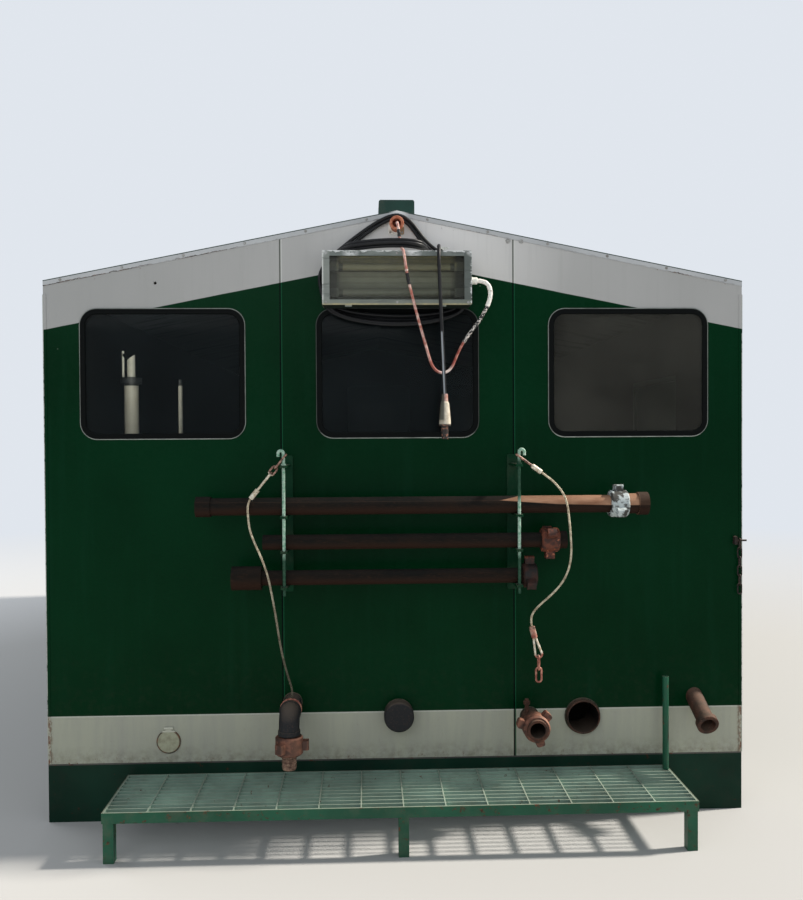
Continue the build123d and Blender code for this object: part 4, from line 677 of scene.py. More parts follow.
lampCordLook = {
    # The paler tone of each pair is painted highlight
    "pink": ((0.38, 0.12, 0.09), (0.64, 0.45, 0.39)),
    "red": ((0.26, 0.055, 0.04), (0.5, 0.24, 0.19)),
    "pale": (0.72, 0.6, 0.55),
    "paleSpot": place(240, 196, 2014),
}


# Faded lead: pinkish white where it hangs and redder beyond its lowest point, the paler tones of its
# mottling painted as highlights.
def lampCordFinish(name):
    finish = Finish(name, (0.42, 0.2, 0.17), 0.55, gloss=0.3)
    wear = finish.noise(38, 4, rough=0.6)
    # The paler tone of each pair is painted highlight
    pink = finish.shade(wear, 0.42, 0.6, *lampCordLook["pink"])
    red = finish.shade(wear, 0.45, 0.68, *lampCordLook["red"])
    finish.paint(finish.shade(finish.x, 0.12, 0.2, pink, red))
    finish.coat(finish.near(lampCordLook["paleSpot"], 0.035, 0.015), lampCordLook["pale"])
    return finish.bump(finish.noise(260, 3), 0.3, 0.0005)


# Tape wound round a lead, with a share of it worn through.
def tapeFinish(name, colour, worn, share):
    finish = Finish(name, colour, 0.45, gloss=0.35)
    finish.paint(finish.shade(finish.noise(95, 3, rough=0.6), 0.68 - share, 0.72 - share, colour, worn))
    return finish.bump(finish.noise(220, 3), 0.3, 0.0006)


plugLook = {
    "cream": ((0.68, 0.62, 0.5), (0.36, 0.29, 0.2)),
    "collar": ((0.42, 0.19, 0.14), (0.6, 0.46, 0.42)),
    "skirt": ((0.012, 0.009, 0.007), (0.3, 0.13, 0.08)),
    "shade": (0.05, 0.05, 0.035),
    "creamFrom": 0.15,  # shares of the plug's length, from its top
    "skirtFrom": 0.66,
}


# White socket body over a rusty skirt, with a pink collar and painted shade on the side that faces left.
def plugFinish(name):
    low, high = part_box("plug")
    finish = Finish(name, (0.66, 0.6, 0.48), 0.55)
    along = finish.calc("DIVIDE", finish.minus(high.z, finish.z), high.z - low.z)
    cream = finish.shade(finish.noise(45, 6, rough=0.7), 0.4, 0.7, *plugLook["cream"])
    collar = finish.shade(finish.noise(70, 5), 0.42, 0.66, *plugLook["collar"])
    skirt = finish.shade(finish.noise(90, 5), 0.54, 0.64, *plugLook["skirt"])
    finish.paint(finish.shade(along, plugLook["creamFrom"], plugLook["creamFrom"] + 0.02, collar, cream))
    # Painted shade on the body's left side
    shaded = finish.times(finish.fall(finish.aside, -0.35, 0.0), finish.span(along, 0.56, 0.6, 0.95, 0.4))
    finish.coat(shaded, plugLook["shade"])
    finish.coat(finish.span(along, plugLook["skirtFrom"], plugLook["skirtFrom"] + 0.02), skirt)
    return finish.bump(finish.noise(200, 4), 0.3, 0.0006)


nutLook = {
    "white": ((0.46, 0.52, 0.52), (0.05, 0.05, 0.045)),
    "red": ((0.13, 0.036, 0.018), (0.045, 0.018, 0.013)),
    "redPaintedHighlights": (0.42, 0.14, 0.07),
    "bare": ((0.008, 0.006, 0.005), (0.04, 0.015, 0.01)),
    "stub": ((0.05, 0.024, 0.017), (0.2, 0.085, 0.055)),
    "paintedSunSide": (0.5, 0.24, 0.15),
    "bareFrom": 0.9,
    "redFrom": 1.37,
    "whiteFrom": 1.555,
}


# Nuts: the top one painted white, the middle one orange with rust and bright flecks painted as highlights,
# the others bare; the stub lightens towards the right and up as painted sunlight.
def nutFinish(name):
    finish = Finish(name, (0.3, 0.12, 0.07), 0.7, gloss=0.35)
    wear = finish.noise(24, 6, rough=0.62)
    white = finish.shade(wear, 0.46, 0.55, *nutLook["white"])
    red = finish.shade(wear, 0.44, 0.56, *nutLook["red"])
    # Painted highlights on the middle nut, as bright flecks
    red = finish.blend(finish.patches(46, 4, 0.6, 0.66), red, nutLook["redPaintedHighlights"])
    bare = finish.shade(wear, 0.42, 0.6, *nutLook["bare"])
    stub = finish.shade(wear, 0.45, 0.62, *nutLook["stub"])
    # Painted sunlight on the stub's faces that look right and up
    paintedSunSide = finish.times(finish.span(finish.aside, -0.1, 0.6), finish.span(finish.upward, -0.2, 0.5), 0.75)
    stub = finish.blend(paintedSunSide, stub, nutLook["paintedSunSide"])
    finish.paint(finish.shade(finish.z, nutLook["bareFrom"], nutLook["bareFrom"] + 0.01, stub, bare))
    finish.coat(finish.span(finish.z, nutLook["redFrom"], nutLook["redFrom"] + 0.01), red)
    finish.coat(finish.span(finish.z, nutLook["whiteFrom"], nutLook["whiteFrom"] + 0.005), white)
    finish.set("Roughness", finish.span(wear, 0.3, 0.7, 0.5, 0.8))
    return finish.bump(finish.plus(wear, finish.noise(180, 4)), 0.4, 0.001)


coverLook = {
    "centre": place(-1207, 9, 109),
    "ring": (0.056, 0.0655),  # its inner and outer reach from the centre
    "paint": ((0.37, 0.38, 0.27), (0.24, 0.235, 0.16)),
    "rust": ((0.035, 0.03, 0.02), (0.16, 0.07, 0.035)),
    "hinge": (0.5, 0.51, 0.42),
    "hingeRise": 0.048,
}


# Pale cover with a thin dark ring round it and a paler hinge.
def coverFinish(name):
    finish = Finish(name, (0.34, 0.35, 0.25), 0.55, gloss=0.3)
    wear = finish.noise(34, 6, rough=0.68)
    inner, outer = [finish.near(coverLook["centre"], reach, 0.002) for reach in coverLook["ring"]]
    finish.paint(finish.shade(wear, 0.4, 0.7, *coverLook["paint"]))
    ring = finish.times(outer, finish.minus(1.0, inner))
    finish.coat(ring, finish.shade(wear, 0.45, 0.6, *coverLook["rust"]))
    hinge = coverLook["centre"][2] + coverLook["hingeRise"]
    finish.coat(finish.span(finish.z, hinge, hinge + 0.004), coverLook["hinge"])
    return finish.bump(finish.plus(wear, finish.noise(160, 3)), 0.25, 0.0008)


rodLook = {
    # Pale for painted light, dark for painted shade
    "pale": ((0.42, 0.56, 0.46), (0.14, 0.33, 0.22)),
    "dark": ((0.006, 0.05, 0.025), (0.03, 0.09, 0.05)),
    "rust": (0.12, 0.06, 0.035),
}


# Rods pale where the light reaches them, as painted light, and dark green in the pipes' shade, as painted
# shade.
def rodFinish(name):
    finish = Finish(name, (0.2, 0.3, 0.24), 0.5, gloss=0.3)
    wear = finish.noise(60, 6, rough=0.65)
    pale = finish.shade(wear, 0.42, 0.62, *rodLook["pale"])
    dark = finish.shade(wear, 0.45, 0.65, *rodLook["dark"])
    # Painted light on the rods' lit lengths
    lit = finish.either(finish.between(finish.z, 1.4, 1.68, 0.02), finish.span(finish.z, 1.87, 1.9))
    leftLit = finish.times(finish.fall(finish.x, -0.1, 0.1), finish.span(finish.z, 1.44, 1.5, 0.0, 0.85))
    finish.paint(finish.blend(finish.either(lit, leftLit), dark, pale))
    finish.coat(finish.patches(85, 6, 0.62, 0.67, rough=0.7), rodLook["rust"])
    return finish.bump(finish.noise(200, 4), 0.25, 0.0006)


fittingLook = {
    # Painted sunlight on the eyes and ferrules
    "bright": ((0.78, 0.74, 0.62), (0.45, 0.36, 0.24)),
    "rusty": ((0.22, 0.06, 0.04), (0.45, 0.2, 0.14)),
    # Links, their paler tone painted highlight
    "link": ((0.12, 0.065, 0.045), (0.42, 0.24, 0.18)),
    "linkFrom": 1.02,
    # Millimetres across and up, and the reach of the painted sunlight there
    "sunlitEyes": (
        (-728, 1410, 0.035), (-680, 1470, 0.056),
        (690, 1526, 0.034), (666, 708, 0.034), (682, 634, 0.052),
    ),
}


# Eyes and ferrules made bright as painted sunlight, brown links above whose paler patches are painted
# highlights, and red rusty ones below.
def fittingFinish(name):
    finish = Finish(name, (0.5, 0.42, 0.36), 0.5, 0.15, gloss=0.5)
    wear = finish.noise(60, 6, rough=0.65)
    bright = finish.shade(wear, 0.42, 0.6, *fittingLook["bright"])
    rusty = finish.shade(wear, 0.42, 0.6, *fittingLook["rusty"])
    link = finish.shade(wear, 0.45, 0.62, *fittingLook["link"])
    linkFrom = fittingLook["linkFrom"]
    finish.paint(finish.shade(finish.z, linkFrom, linkFrom + 0.01, rusty, link))
    sunlitEyes = [finish.near(place(across, 218, up), reach) for across, up, reach in fittingLook["sunlitEyes"]]
    # Painted sunlight on the eyes and ferrules
    finish.coat(finish.either(*sunlitEyes), bright)
    return finish.bump(finish.noise(200, 4), 0.3, 0.0006)


riserLook = {
    "beige": ((0.72, 0.7, 0.62), (0.55, 0.52, 0.44)),
    "low": (0.3, 0.27, 0.22),
    "flange": (0.015, 0.016, 0.017),
}


# Beige pipes with black flanges, darker below the flanges.
def riserFinish(name):
    finish = Finish(name, (0.5, 0.46, 0.36), 0.5)
    finish.paint(finish.shade(finish.noise(12, 5), 0.35, 0.7, *riserLook["beige"]))
    finish.coat(finish.span(finish.z, 2.33, 2.34, 0.6, 0.0), riserLook["low"])
    finish.coat(finish.between(finish.z, 2.3, 2.352), riserLook["flange"])
    return finish.bump(finish.noise(120, 3), 0.2, 0.0005)


def steelFinish(name, dark, light, rough, metal):
    finish = Finish(name, light, rough, metal)
    wear = finish.noise(45, 6, rough=0.65)
    finish.paint(finish.shade(wear, 0.4, 0.65, dark, light))
    finish.set("Roughness", finish.span(wear, 0.3, 0.7, rough + 0.2, rough - 0.05))
    return finish.bump(finish.noise(200, 4), 0.25, 0.0006)


ropeLook = {
    # Pale for painted sunlight, dull for painted shade
    "pale": ((0.68, 0.62, 0.46), (0.34, 0.27, 0.18)),
    "dull": ((0.14, 0.13, 0.09), (0.07, 0.06, 0.04)),
}


# Wire rope, pale as painted sunlight except for the left one's lower part, which is dull as painted shade.
def ropeFinish(name):
    finish = Finish(name, (0.5, 0.44, 0.32), 0.55, 0.1, gloss=0.4)
    wear = finish.noise(45, 6, rough=0.65)
    pale, dull = [finish.shade(wear, 0.4, 0.62, *ropeLook[key]) for key in ("pale", "dull")]
    # Painted shade on the left rope's lower part
    lowLeft = finish.times(finish.fall(finish.z, 0.85, 1.45), finish.fall(finish.x, 0.0, 0.1))
    finish.paint(finish.blend(lowLeft, pale, dull))
    return finish.bump(finish.noise(200, 4), 0.25, 0.0006)


beadHighlightColours = {"dark": (0.015, 0.02, 0.017), "pale": (0.5, 0.54, 0.49)}


# A pale bead painted as the lit edge of each window's rubber, a painted highlight that shows along the foot
# of each window and only faintly elsewhere.
def beadFinish(name):
    finish = Finish(name, (0.2, 0.22, 0.2), 0.5, gloss=0.3)
    foot = finish.fall(finish.z, 2.0, 2.03)
    outer = finish.span(finish.absolute(finish.x), 0.5, 0.6, 0.12, 0.55)
    level = finish.times(finish.either(foot, outer), finish.patches(7, 6, 0.3, 0.65, 0.35, 1.0, rough=0.65))
    finish.paint(finish.blend(level, beadHighlightColours["dark"], beadHighlightColours["pale"]))
    return finish.bump(finish.noise(200, 3), 0.2, 0.0004)


pipeLook = {
    "stretch": (0.35, 1, 1),
    "dust": 0.12,
    "dustColour": (0.08, 0.08, 0.075),
    "gloss": 0.12,
    "flecks": 0.3,
    "lowRed": (0.028, 0.012, 0.007),
    # Painted sunlight on the top pipe's right end
    "paintedSunlight": (0.429, 0.25, 0.156),
}
skidLook = {
    "rust": 0.3,
    "dust": 0.3,
    "dirt": 0.3,
    "gloss": 0.1,
    "dirtColour": (0.03, 0.03, 0.022),
    "rustColour": (0.09, 0.035, 0.02),
}
# Across, up and bore of the two open stubs
stubBores = ((0.688, 0.514, 0.0395), (0.971, 0.512, 0.082))


def paintFinishes():
    return {
        "skid_steel": wornPaint("skidSteel", (0.006, 0.03, 0.018), **skidLook),
        "floor_steel": wornPaint("floorSteel", (0.05, 0.05, 0.045), rust=0.5, dust=0.3),
        "ridge_metal": wornPaint(
            "ridgeMetal", (0.008, 0.05, 0.036), rust=0.1, dust=0.15, rough=0.4, gloss=0.25
        ),
        "door_paint": wornPaint(
            "doorPaint", (0.001, 0.028, 0.011), rust=0.12, rough=0.3, dust=0.15, dirt=0.08, gloss=0.05
        ),
        "rack_steel": wornPaint(
            "rackSteel", (0.002, 0.036, 0.014), rust=0.25, dust=0.2, dirt=0.2, gloss=0.1
        ),
        "porch_paint": wornPaint(
            "porchPaint", (0.012, 0.09, 0.048), rust=0.45, dust=0.4, rustScale=30, gloss=0.25
        ),
        "grating_steel": wornPaint(
            "gratingSteel", (0.24, 0.36, 0.29), rust=0.3, dust=0.4, rustScale=34, gloss=0.25
        ),
    }


def rustyFinishes():
    return {
        "pipe_steel": rustySteel(
            "pipeSteel", (0.005, 0.005, 0.004), (0.015, 0.01, 0.007), (0.09, 0.042, 0.024), **pipeLook
        ),
        "stub_steel": rustySteel(
            "stubSteel", (0.025, 0.016, 0.012), (0.085, 0.038, 0.025), (0.34, 0.17, 0.11),
            dust=0.2, flecks=0.5, gloss=0.2, bores=stubBores,
        ),
        "elbow_iron": rustySteel(
            "elbowIron", (0.006, 0.008, 0.01), (0.014, 0.016, 0.018), (0.16, 0.08, 0.05), flecks=0.5
        ),
        "tail_steel": rustySteel(
            "tailSteel", (0.1, 0.055, 0.04), (0.34, 0.21, 0.15), (0.62, 0.5, 0.32), scale=30
        ),
        "chain_steel": rustySteel(
            "chainSteel", (0.008, 0.008, 0.008), (0.03, 0.02, 0.015), (0.2, 0.1, 0.06), scale=40
        ),
    }


finishes = {
    **paintFinishes(),
    **rustyFinishes(),
    "wall_sheet": wallPaint("wallPaint"),
    "roof_sheet": roofPaint("roofPaint"),
    "flashing": trimPaint("trimPaint"),
    "corner_metal": wallPaint("cornerPaint", edged=True),
    "window_rubber": rubberFinish("windowRubber"),
    "window_glass": tintedGlass("windowGlass", windowGlassLook),
    "door_steel": steelFinish("doorSteel", (0.2, 0.2, 0.19), (0.55, 0.56, 0.55), 0.35, 0.9),
    "lamp_metal": lampMetal("lampMetal"),
    "lamp_reflector": reflectorFinish("lampReflector"),
    "lamp_glass": tintedGlass("lampGlass", lampGlassLook),
    "lamp_tube": tubeFinish("lampTube"),
    "gland_plastic": plasticFinish("glandPlastic", (0.84, 0.84, 0.78), (0.6, 0.57, 0.48), 0.35),
    "nipple_iron": nippleFinish("nippleIron"),
    "lamp_cord": lampCordFinish("lampCord"),
    # The last colour is the painted highlight on the hanging lead
    "power_cord": cordFinish("powerCord", (0.0035, 0.004, 0.005), (0.012, 0.013, 0.015), (0.3, 0.33, 0.35)),
    "plug_body": plugFinish("plugBody"),
    "rod_steel": rodFinish("rodSteel"),
    "nut_iron": nutFinish("nutIron"),
    "cover_paint": coverFinish("coverPaint"),
    "riser_paint": riserFinish("riserPaint"),
    "rope_wire": ropeFinish("ropeWire"),
    "fitting_steel": fittingFinish("fittingSteel"),
}
extras = {
    "bead": beadFinish("windowBeadHighlight"),
    "screw": steelFinish("screwSteel", (0.25, 0.24, 0.22), (0.46, 0.47, 0.46), 0.5, 0.2),
    "hook": steelFinish("hookSteel", (0.42, 0.43, 0.4), (0.72, 0.73, 0.7), 0.5, 0.1),
    "weld": rustySteel("weldSteel", (0.02, 0.025, 0.016), (0.05, 0.045, 0.03), (0.24, 0.11, 0.06), scale=60),
    "paleTape": tapeFinish("paleTape", (0.6, 0.48, 0.42), (0.35, 0.2, 0.16), 0.1),
    "whiteTape": tapeFinish("whiteTape", (0.8, 0.78, 0.73), (0.5, 0.45, 0.39), 0.08),
    "speckledTape": tapeFinish("speckledTape", (0.015, 0.015, 0.017), (0.62, 0.58, 0.53), 0.2),
    "blackTape": tapeFinish("blackTape", (0.009, 0.009, 0.01), (0.05, 0.05, 0.05), 0.06),
}
slotOfNode = {part["node"]: part["material_slot"] for part in frame["record"]["subparts"]}
for name, node in nodes.items():
    node.data.materials.clear()
    node.data.materials.append(finishes[slotOfNode[name]].material)
print("stage: finishes on the carried-over nodes")


# A cord is a tube round one NURBS spline.
def curveFrom(name, points, radius):
    data = bpy.data.curves.new(name, "CURVE")
    data.dimensions = "3D"
    line = data.splines.new("NURBS")
    line.points.add(len(points) - 1)
    for spot, target in zip(points, line.points):
        target.co = (*spot, 1)
    line.order_u = 3
    line.use_endpoint_u = True
    line.resolution_u = 8
    data.bevel_depth = radius
    data.bevel_resolution = 4
    data.use_fill_caps = True
    return data


# Puts a mesh or a curve into the scene as a piece of the building.
def pieceOf(name, data):
    data.name = name
    piece = bpy.data.objects.new(name, data)
    scene.collection.objects.link(piece)
    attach(piece, "root")
    return piece


def cordPiece(name, points, radius, slotName):
    data = curveFrom(name, points, radius)
    data.materials.append(finishes[slotName].material)
    return pieceOf(name, data)


# What an object comes to once it is worked out, as a plain mesh. The object itself goes.
def meshOf(maker):
    scene.collection.objects.link(maker)
    mesh = bpy.data.meshes.new_from_object(maker.evaluated_get(bpy.context.evaluated_depsgraph_get()))
    bpy.data.objects.remove(maker)
    return mesh


# The line that a cord's spline follows, as plain points.
def lineOf(points):
    mesh = meshOf(bpy.data.objects.new("guide", curveFrom("guide", points, 0.0)))
    found = [vertex.co.copy() for vertex in mesh.vertices]
    bpy.data.meshes.remove(mesh)
    return found


def lengthOf(points):
    return sum((b - a).length for a, b in zip(points, points[1:]))


# Routes are places in millimetres across, out of the front wall and above the skid's top
lampCord = {
    "radius": 0.007,
    "route": [
        (-4, 20.3, 2790), (-4, 108, 2790), (-2, 146, 2776), (2, 164, 2742), (6, 163, 2704),
        (10, 167, 2669), (14, 185, 2644), (20, 214, 2634), (26, 240, 2609), (31, 247, 2562),
        (44, 240, 2485), (62, 234, 2410), (84, 231, 2325), (106, 229, 2245), (130, 226, 2160),
        (148, 222, 2098), (164, 217, 2048), (194, 208, 2016), (236, 196, 2013), (268, 184, 2042),
        (288, 175, 2090), (316, 164, 2150), (354, 151, 2208), (398, 140, 2262), (438, 127, 2322),
        (467, 114, 2380), (477, 107, 2430), (468, 106, 2468), (441, 106, 2490), (408.3, 106, 2491),
    ],
}
powerCord = {
    "radius": 0.009,
    "layers": (17.6, 35.6, 53.6),
    "leave": [(-218.4, 26, 2430), (-268, 26, 2430), (-330, 20, 2424)],
    "inner": [
        (-312, 2350), (10, 2322), (290, 2346), (330, 2410), (330, 2520), (290, 2592), (150, 2650),
        (42, 2820), (-48, 2820), (-270, 2656), (-372, 2556), (-364, 2446),
    ],
    "outer": [
        (-350, 2308), (10, 2250), (330, 2310), (366, 2390), (366, 2556), (310, 2630), (178, 2686),
        (56, 2856), (-60, 2856), (-296, 2690), (-422, 2560), (-408, 2432),
    ],
    "over": [
        (158, 38, 2660), (154, 78, 2660), (146, 124, 2656), (120, 172, 2658), (68, 198, 2663),
        (-5, 204, 2665), (-98, 199, 2663), (-176, 184, 2658), (-240, 154, 2656), (-282, 114, 2656),
        (-296, 74, 2656), (-300, 38, 2650),
    ],
    "fan": {2: (-4, 17), 3: (8, 1), 4: (-7, -13)},
    "side": [0.26, 0.74, 0.26, 0.74, 0.26, 0.74],
    "foot": [0.2, 0.42, 0.12, 0.62, 0.88, 0.74],
    "footSteps": (0, 1, 2),
    "topSteps": (6, 7, 8, 9),
    "drop": [
        (208, 112, 2654), (206, 162, 2662), (203, 208, 2646), (200, 240, 2604), (199, 249, 2542),
        (226, 242, 1906.6),
    ],
}


# The way over the lamp's top: it comes forward from a layer of the coil and goes back into it.
def overLamp(out, aside, above):
    spots = powerCord["over"]
    route = []
    for step, (x, depth, up) in enumerate(spots):
        spread = min(1, step / 3, (len(spots) - 1 - step) / 3)
        route.append((x, depth * spread + out * (1 - spread) + aside * spread, up + above * spread))
    return route


# One cord: two turns over the nipple, three over the lamp's top, and half a turn to the drop.
def powerRoute():
    route = list(powerCord["leave"])
    top = powerCord["topSteps"]
    last = len(powerCord["side"]) - 1
    for turn, (side, foot) in enumerate(zip(powerCord["side"], powerCord["foot"])):
        out = powerCord["layers"][turn // 2]
        for index, (inner, outer) in enumerate(zip(powerCord["inner"], powerCord["outer"])):
            share = foot if index in powerCord["footSteps"] else side
            if turn == last and index == top[0]:
                return route + powerCord["drop"]
            if turn in powerCord["fan"] and index == top[0]:
                route += overLamp(out, *powerCord["fan"][turn])
            if turn not in powerCord["fan"] or index not in top:
                x, up = [a + share * (b - a) for a, b in zip(inner, outer)]
                route.append((x, out, up))
    return route


slingLook = {
    "radius": 0.0055,
    "strands": 6,
    "sides": 6,
    "layLength": 0.062,
    "step": 0.006,
    "left": [
        (-746.11, 218.45, 1387.70), (-762, 222, 1360), (-757, 234, 1300), (-749, 240, 1234),
        (-724, 243, 1168), (-690, 243, 1092), (-661, 241, 1008), (-643, 241, 920), (-622, 240, 800),
        (-608, 232, 690), (-592, 214, 592), (-575, 186, 508), (-560, 156, 444), (-552, 134, 400),
        (-554, 130, 362.05),
    ],
    "right": [
        (714.64, 218.45, 1510.24), (739.02, 218.45, 1492.76), (778, 224, 1462), (822, 234, 1408),
        (842, 240, 1350), (850, 242, 1280), (858, 243, 1190), (862, 243, 1105), (850, 243, 1026),
        (816, 243, 955), (764, 243, 898), (708, 243, 852), (668, 243, 812), (652, 243, 772),
        (659.02, 243, 736.09),
    ],
}


# Where a tube's rings stand along a line: its middle, two directions across it, and the run so far.
def ringsAlong(line):
    rings = []
    travelled = 0.0
    normal = (line[1] - line[0]).orthogonal().normalized()
    for index, spot in enumerate(line):
        tangent = (line[min(index + 1, len(line) - 1)] - line[max(index - 1, 0)]).normalized()
        if index:
            travelled += (spot - line[index - 1]).length
        normal = (normal - tangent * normal.dot(tangent)).normalized()
        rings.append((spot, normal.copy(), tangent.cross(normal), travelled))
    return rings


# A closed tube through rings of any thickness, added to the lists of a mesh.
def addTube(vertices, faces, rings, thickness, sides, offset=None):
    start = len(vertices)
    for index, (spot, across, aside, run) in enumerate(rings):
        centre = spot + offset(across, aside, run) if offset else spot
        for corner in range(sides):
            angle = tau * corner / sides
            vertices.append(centre + (across * cos(angle) + aside * sin(angle)) * thickness(run, angle))
    for ring in range(len(rings) - 1):
        for corner in range(sides):
            a = start + ring * sides + corner
            b = start + ring * sides + (corner + 1) % sides
            faces.append((a, b, b + sides, a + sides))
    faces.append(tuple(start + corner for corner in reversed(range(sides))))
    faces.append(tuple(start + (len(rings) - 1) * sides + corner for corner in range(sides)))


def meshPiece(name, vertices, faces, material, smooth=True):
    mesh = bpy.data.meshes.new(name)
    mesh.from_pydata([tuple(vertex) for vertex in vertices], [], faces)
    if smooth:
        mesh.shade_smooth()
    mesh.materials.append(material)
    return pieceOf(name, mesh)


# Wire rope: strands laid round a core, each a thin tube.
def ropeAlong(name, line, look):
    strandRadius = look["radius"] / 3
    laid = look["radius"] - strandRadius
    vertices, faces = [], []
    rings = ringsAlong(line)
    for strand in range(look["strands"]):
        def offset(across, aside, run, strand=strand):
            turn = tau * (strand / look["strands"] + run / look["layLength"])
            return (across * cos(turn) + aside * sin(turn)) * laid
        addTube(vertices, faces, rings, lambda run, angle: strandRadius, look["sides"], offset)
    addTube(vertices, faces, rings, lambda run, angle: laid, look["sides"])
    return meshPiece(name, vertices, faces, finishes["rope_wire"].material)


# Even steps along a line, close enough for the lay of the strands.
def evenSteps(line, step):
    steps = [line[0]]
    left = step
    for a, b in zip(line, line[1:]):
        run = (b - a).length
        gone = 0.0
        while run - gone > left:
            gone += left
            steps.append(a.lerp(b, gone / run))
            left = step
        left -= run - gone
    if (steps[-1] - line[-1]).length > step * 0.3:
        steps.append(line[-1])
    return steps


tapeLook = {
    "wrap": 0.017,
    "lift": 0.0011,
    "wave": 0.0005,
    "waves": 210,
    "step": 0.0025,
    "sides": 16,
    "wraps": [
        ("blackTapeUpper", "blackTape", (2, 164, 2742), (6, 163, 2704), 0.0078),
        ("paleTie", "paleTape", (36, 240, 2530), (39, 241, 2514), 0.0078),
        ("blackTapeLower", "blackTape", (40, 240, 2506), (52, 238, 2448), 0.0085),
        ("speckledTape", "speckledTape", (330, 160, 2172), (462, 116, 2352), 0.0084),
        ("whiteTape", "whiteTape", (463, 116, 2356), (412, 106, 2491), 0.0108),
    ],
}


def nearestOn(line, spot):
    return min(range(len(line)), key=lambda index: (line[index] - Vector(spot)).length)


# Tape wound along a lead between two places on it, each wrap lifting over the one before.
def tapeAlong(name, line, first, last, radius, finish):
    ends = sorted(nearestOn(line, place(*spot)) for spot in (first, last))
    part = evenSteps(line[ends[0]:ends[1] + 1], tapeLook["step"])

    def thickness(run, angle):
        wound = (run / tapeLook["wrap"] + angle / tau) % 1.0
        wave = tapeLook["wave"] * sin(run * tapeLook["waves"] + 2 * angle)
        return radius + tapeLook["lift"] * wound + wave

    vertices, faces = [], []
    addTube(vertices, faces, ringsAlong(part), thickness, tapeLook["sides"])
    return meshPiece(name, vertices, faces, extras[finish].material)


lampRoute = [place(*spot) for spot in lampCord["route"]]
lampPiece = cordPiece("lampLead", lampRoute, lampCord["radius"], "lamp_cord")
lampLine = lineOf(lampRoute)
lampTapes = [
    tapeAlong(name, lampLine, first, last, radius, finish)
    for name, finish, first, last, radius in tapeLook["wraps"]
]
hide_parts("lamp_cable")

coiledRoute = [place(*spot) for spot in powerRoute()]
coiledLength = round(lengthOf(lineOf(coiledRoute)), 2)
powerPiece = cordPiece("powerLead", coiledRoute, powerCord["radius"], "power_cord")
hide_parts("cable_coil", "cable_drop")
print("stage: leads, the long one is", coiledLength, "m")

for side, farEnd, withPieces in (("left", "object", []), ("right", "fitting", ["sling_fittings"])):
    line = evenSteps(lineOf([place(*spot) for spot in slingLook[side]]), slingLook["step"])
    rope = ropeAlong(side + "Sling", line, slingLook)
    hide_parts(side + "_sling")
print("stage: slings")


# A tree of geometry nodes with named sizes, evaluated once and kept as a plain mesh.
class Tree:
    def __init__(self, name, sizes):
        self.group = bpy.data.node_groups.new(name, "GeometryNodeTree")
        face = self.group.interface
        for way in ("INPUT", "OUTPUT"):
            face.new_socket(name="Geometry", in_out=way, socket_type="NodeSocketGeometry")
        self.sockets = {}
        for label, value in sizes.items():
            kind = "NodeSocketInt" if isinstance(value, int) else "NodeSocketFloat"
            socket = face.new_socket(name=label, in_out="INPUT", socket_type=kind)
            socket.default_value = value
            self.sockets[label] = socket.identifier
        self.start = self.group.nodes.new("NodeGroupInput")
        self.end = self.group.nodes.new("NodeGroupOutput")

    def size(self, label):
        return self.start.outputs[label]

    def add(self, kind, inputs=None, **settings):
        node = self.group.nodes.new(kind)
        for key, value in settings.items():
            setattr(node, key, value)
        for key, value in (inputs or {}).items():
            socket = node.inputs[key]
            if isinstance(value, bpy.types.NodeSocket):
                self.group.links.new(value, socket)
            else:
                socket.default_value = value
        return node.outputs[0]

    def math(self, operation, *values):
        return self.add("ShaderNodeMath", dict(enumerate(values)), operation=operation)

    def cylinder(self, corners, radius, height):
        inputs = {"Vertices": corners, "Radius": self.size(radius), "Depth": self.size(height)}
        return self.add("GeometryNodeMeshCylinder", inputs)

    def lifted(self, geometry, height):
        up = self.add("ShaderNodeCombineXYZ", {"Z": height})
        return self.add("GeometryNodeTransform", {"Geometry": geometry, "Translation": up})

    # A curve given a round section of one of the named sizes.
    def swept(self, curve, radius):
        inputs = {"Resolution": 8, "Radius": self.size(radius)}
        profile = self.add("GeometryNodeCurvePrimitiveCircle", inputs)
        return self.add("GeometryNodeCurveToMesh", {"Curve": curve, "Profile Curve": profile})

    # One instance at each point, its Z turned to the points' own direction out and its X level.
    def placed(self, instance):
        named = [
            self.add("GeometryNodeInputNamedAttribute", {"Name": label}, data_type="FLOAT_VECTOR")
            for label in ("out", "level")
        ]
        turned = self.add("FunctionNodeAlignRotationToVector", {"Vector": named[0]}, axis="Z")
        inputs = {"Rotation": turned, "Vector": named[1]}
        level = self.add("FunctionNodeAlignRotationToVector", inputs, axis="X", pivot_axis="Z")
        inputs = {"Points": self.start.outputs[0], "Instance": instance, "Rotation": level}
        return self.add("GeometryNodeInstanceOnPoints", inputs)

    def close(self, geometry, material):
        whole = self.add("GeometryNodeRealizeInstances", {"Geometry": geometry})
        painted = self.add("GeometryNodeSetMaterial", {"Geometry": whole, "Material": material})
        self.group.links.new(painted, self.end.inputs[0])
        return self

    # Evaluated at places that each have a way they face.
    def build(self, name, places, sizes=None):
        points = bpy.data.meshes.new(name + "Points")
        points.from_pydata([spot for spot, out in places], [], [])
        for label, way in (("out", Vector), ("level", levelOf)):
            kept = points.attributes.new(label, "FLOAT_VECTOR", "POINT")
            for item, (spot, out) in zip(kept.data, places):
                item.vector = way(out)
        maker = bpy.data.objects.new(name, points)
        modifier = maker.modifiers.new("tree", "NODES")
        modifier.node_group = self.group
        for label, value in (sizes or {}).items():
            modifier[self.sockets[label]] = value
        return meshOf(maker)


# The level direction along the face of something that faces out.
def levelOf(out):
    direction = Vector((-out[1], out[0], 0))
    return direction.normalized() if direction.length > 0.05 else Vector((1, 0, 0))


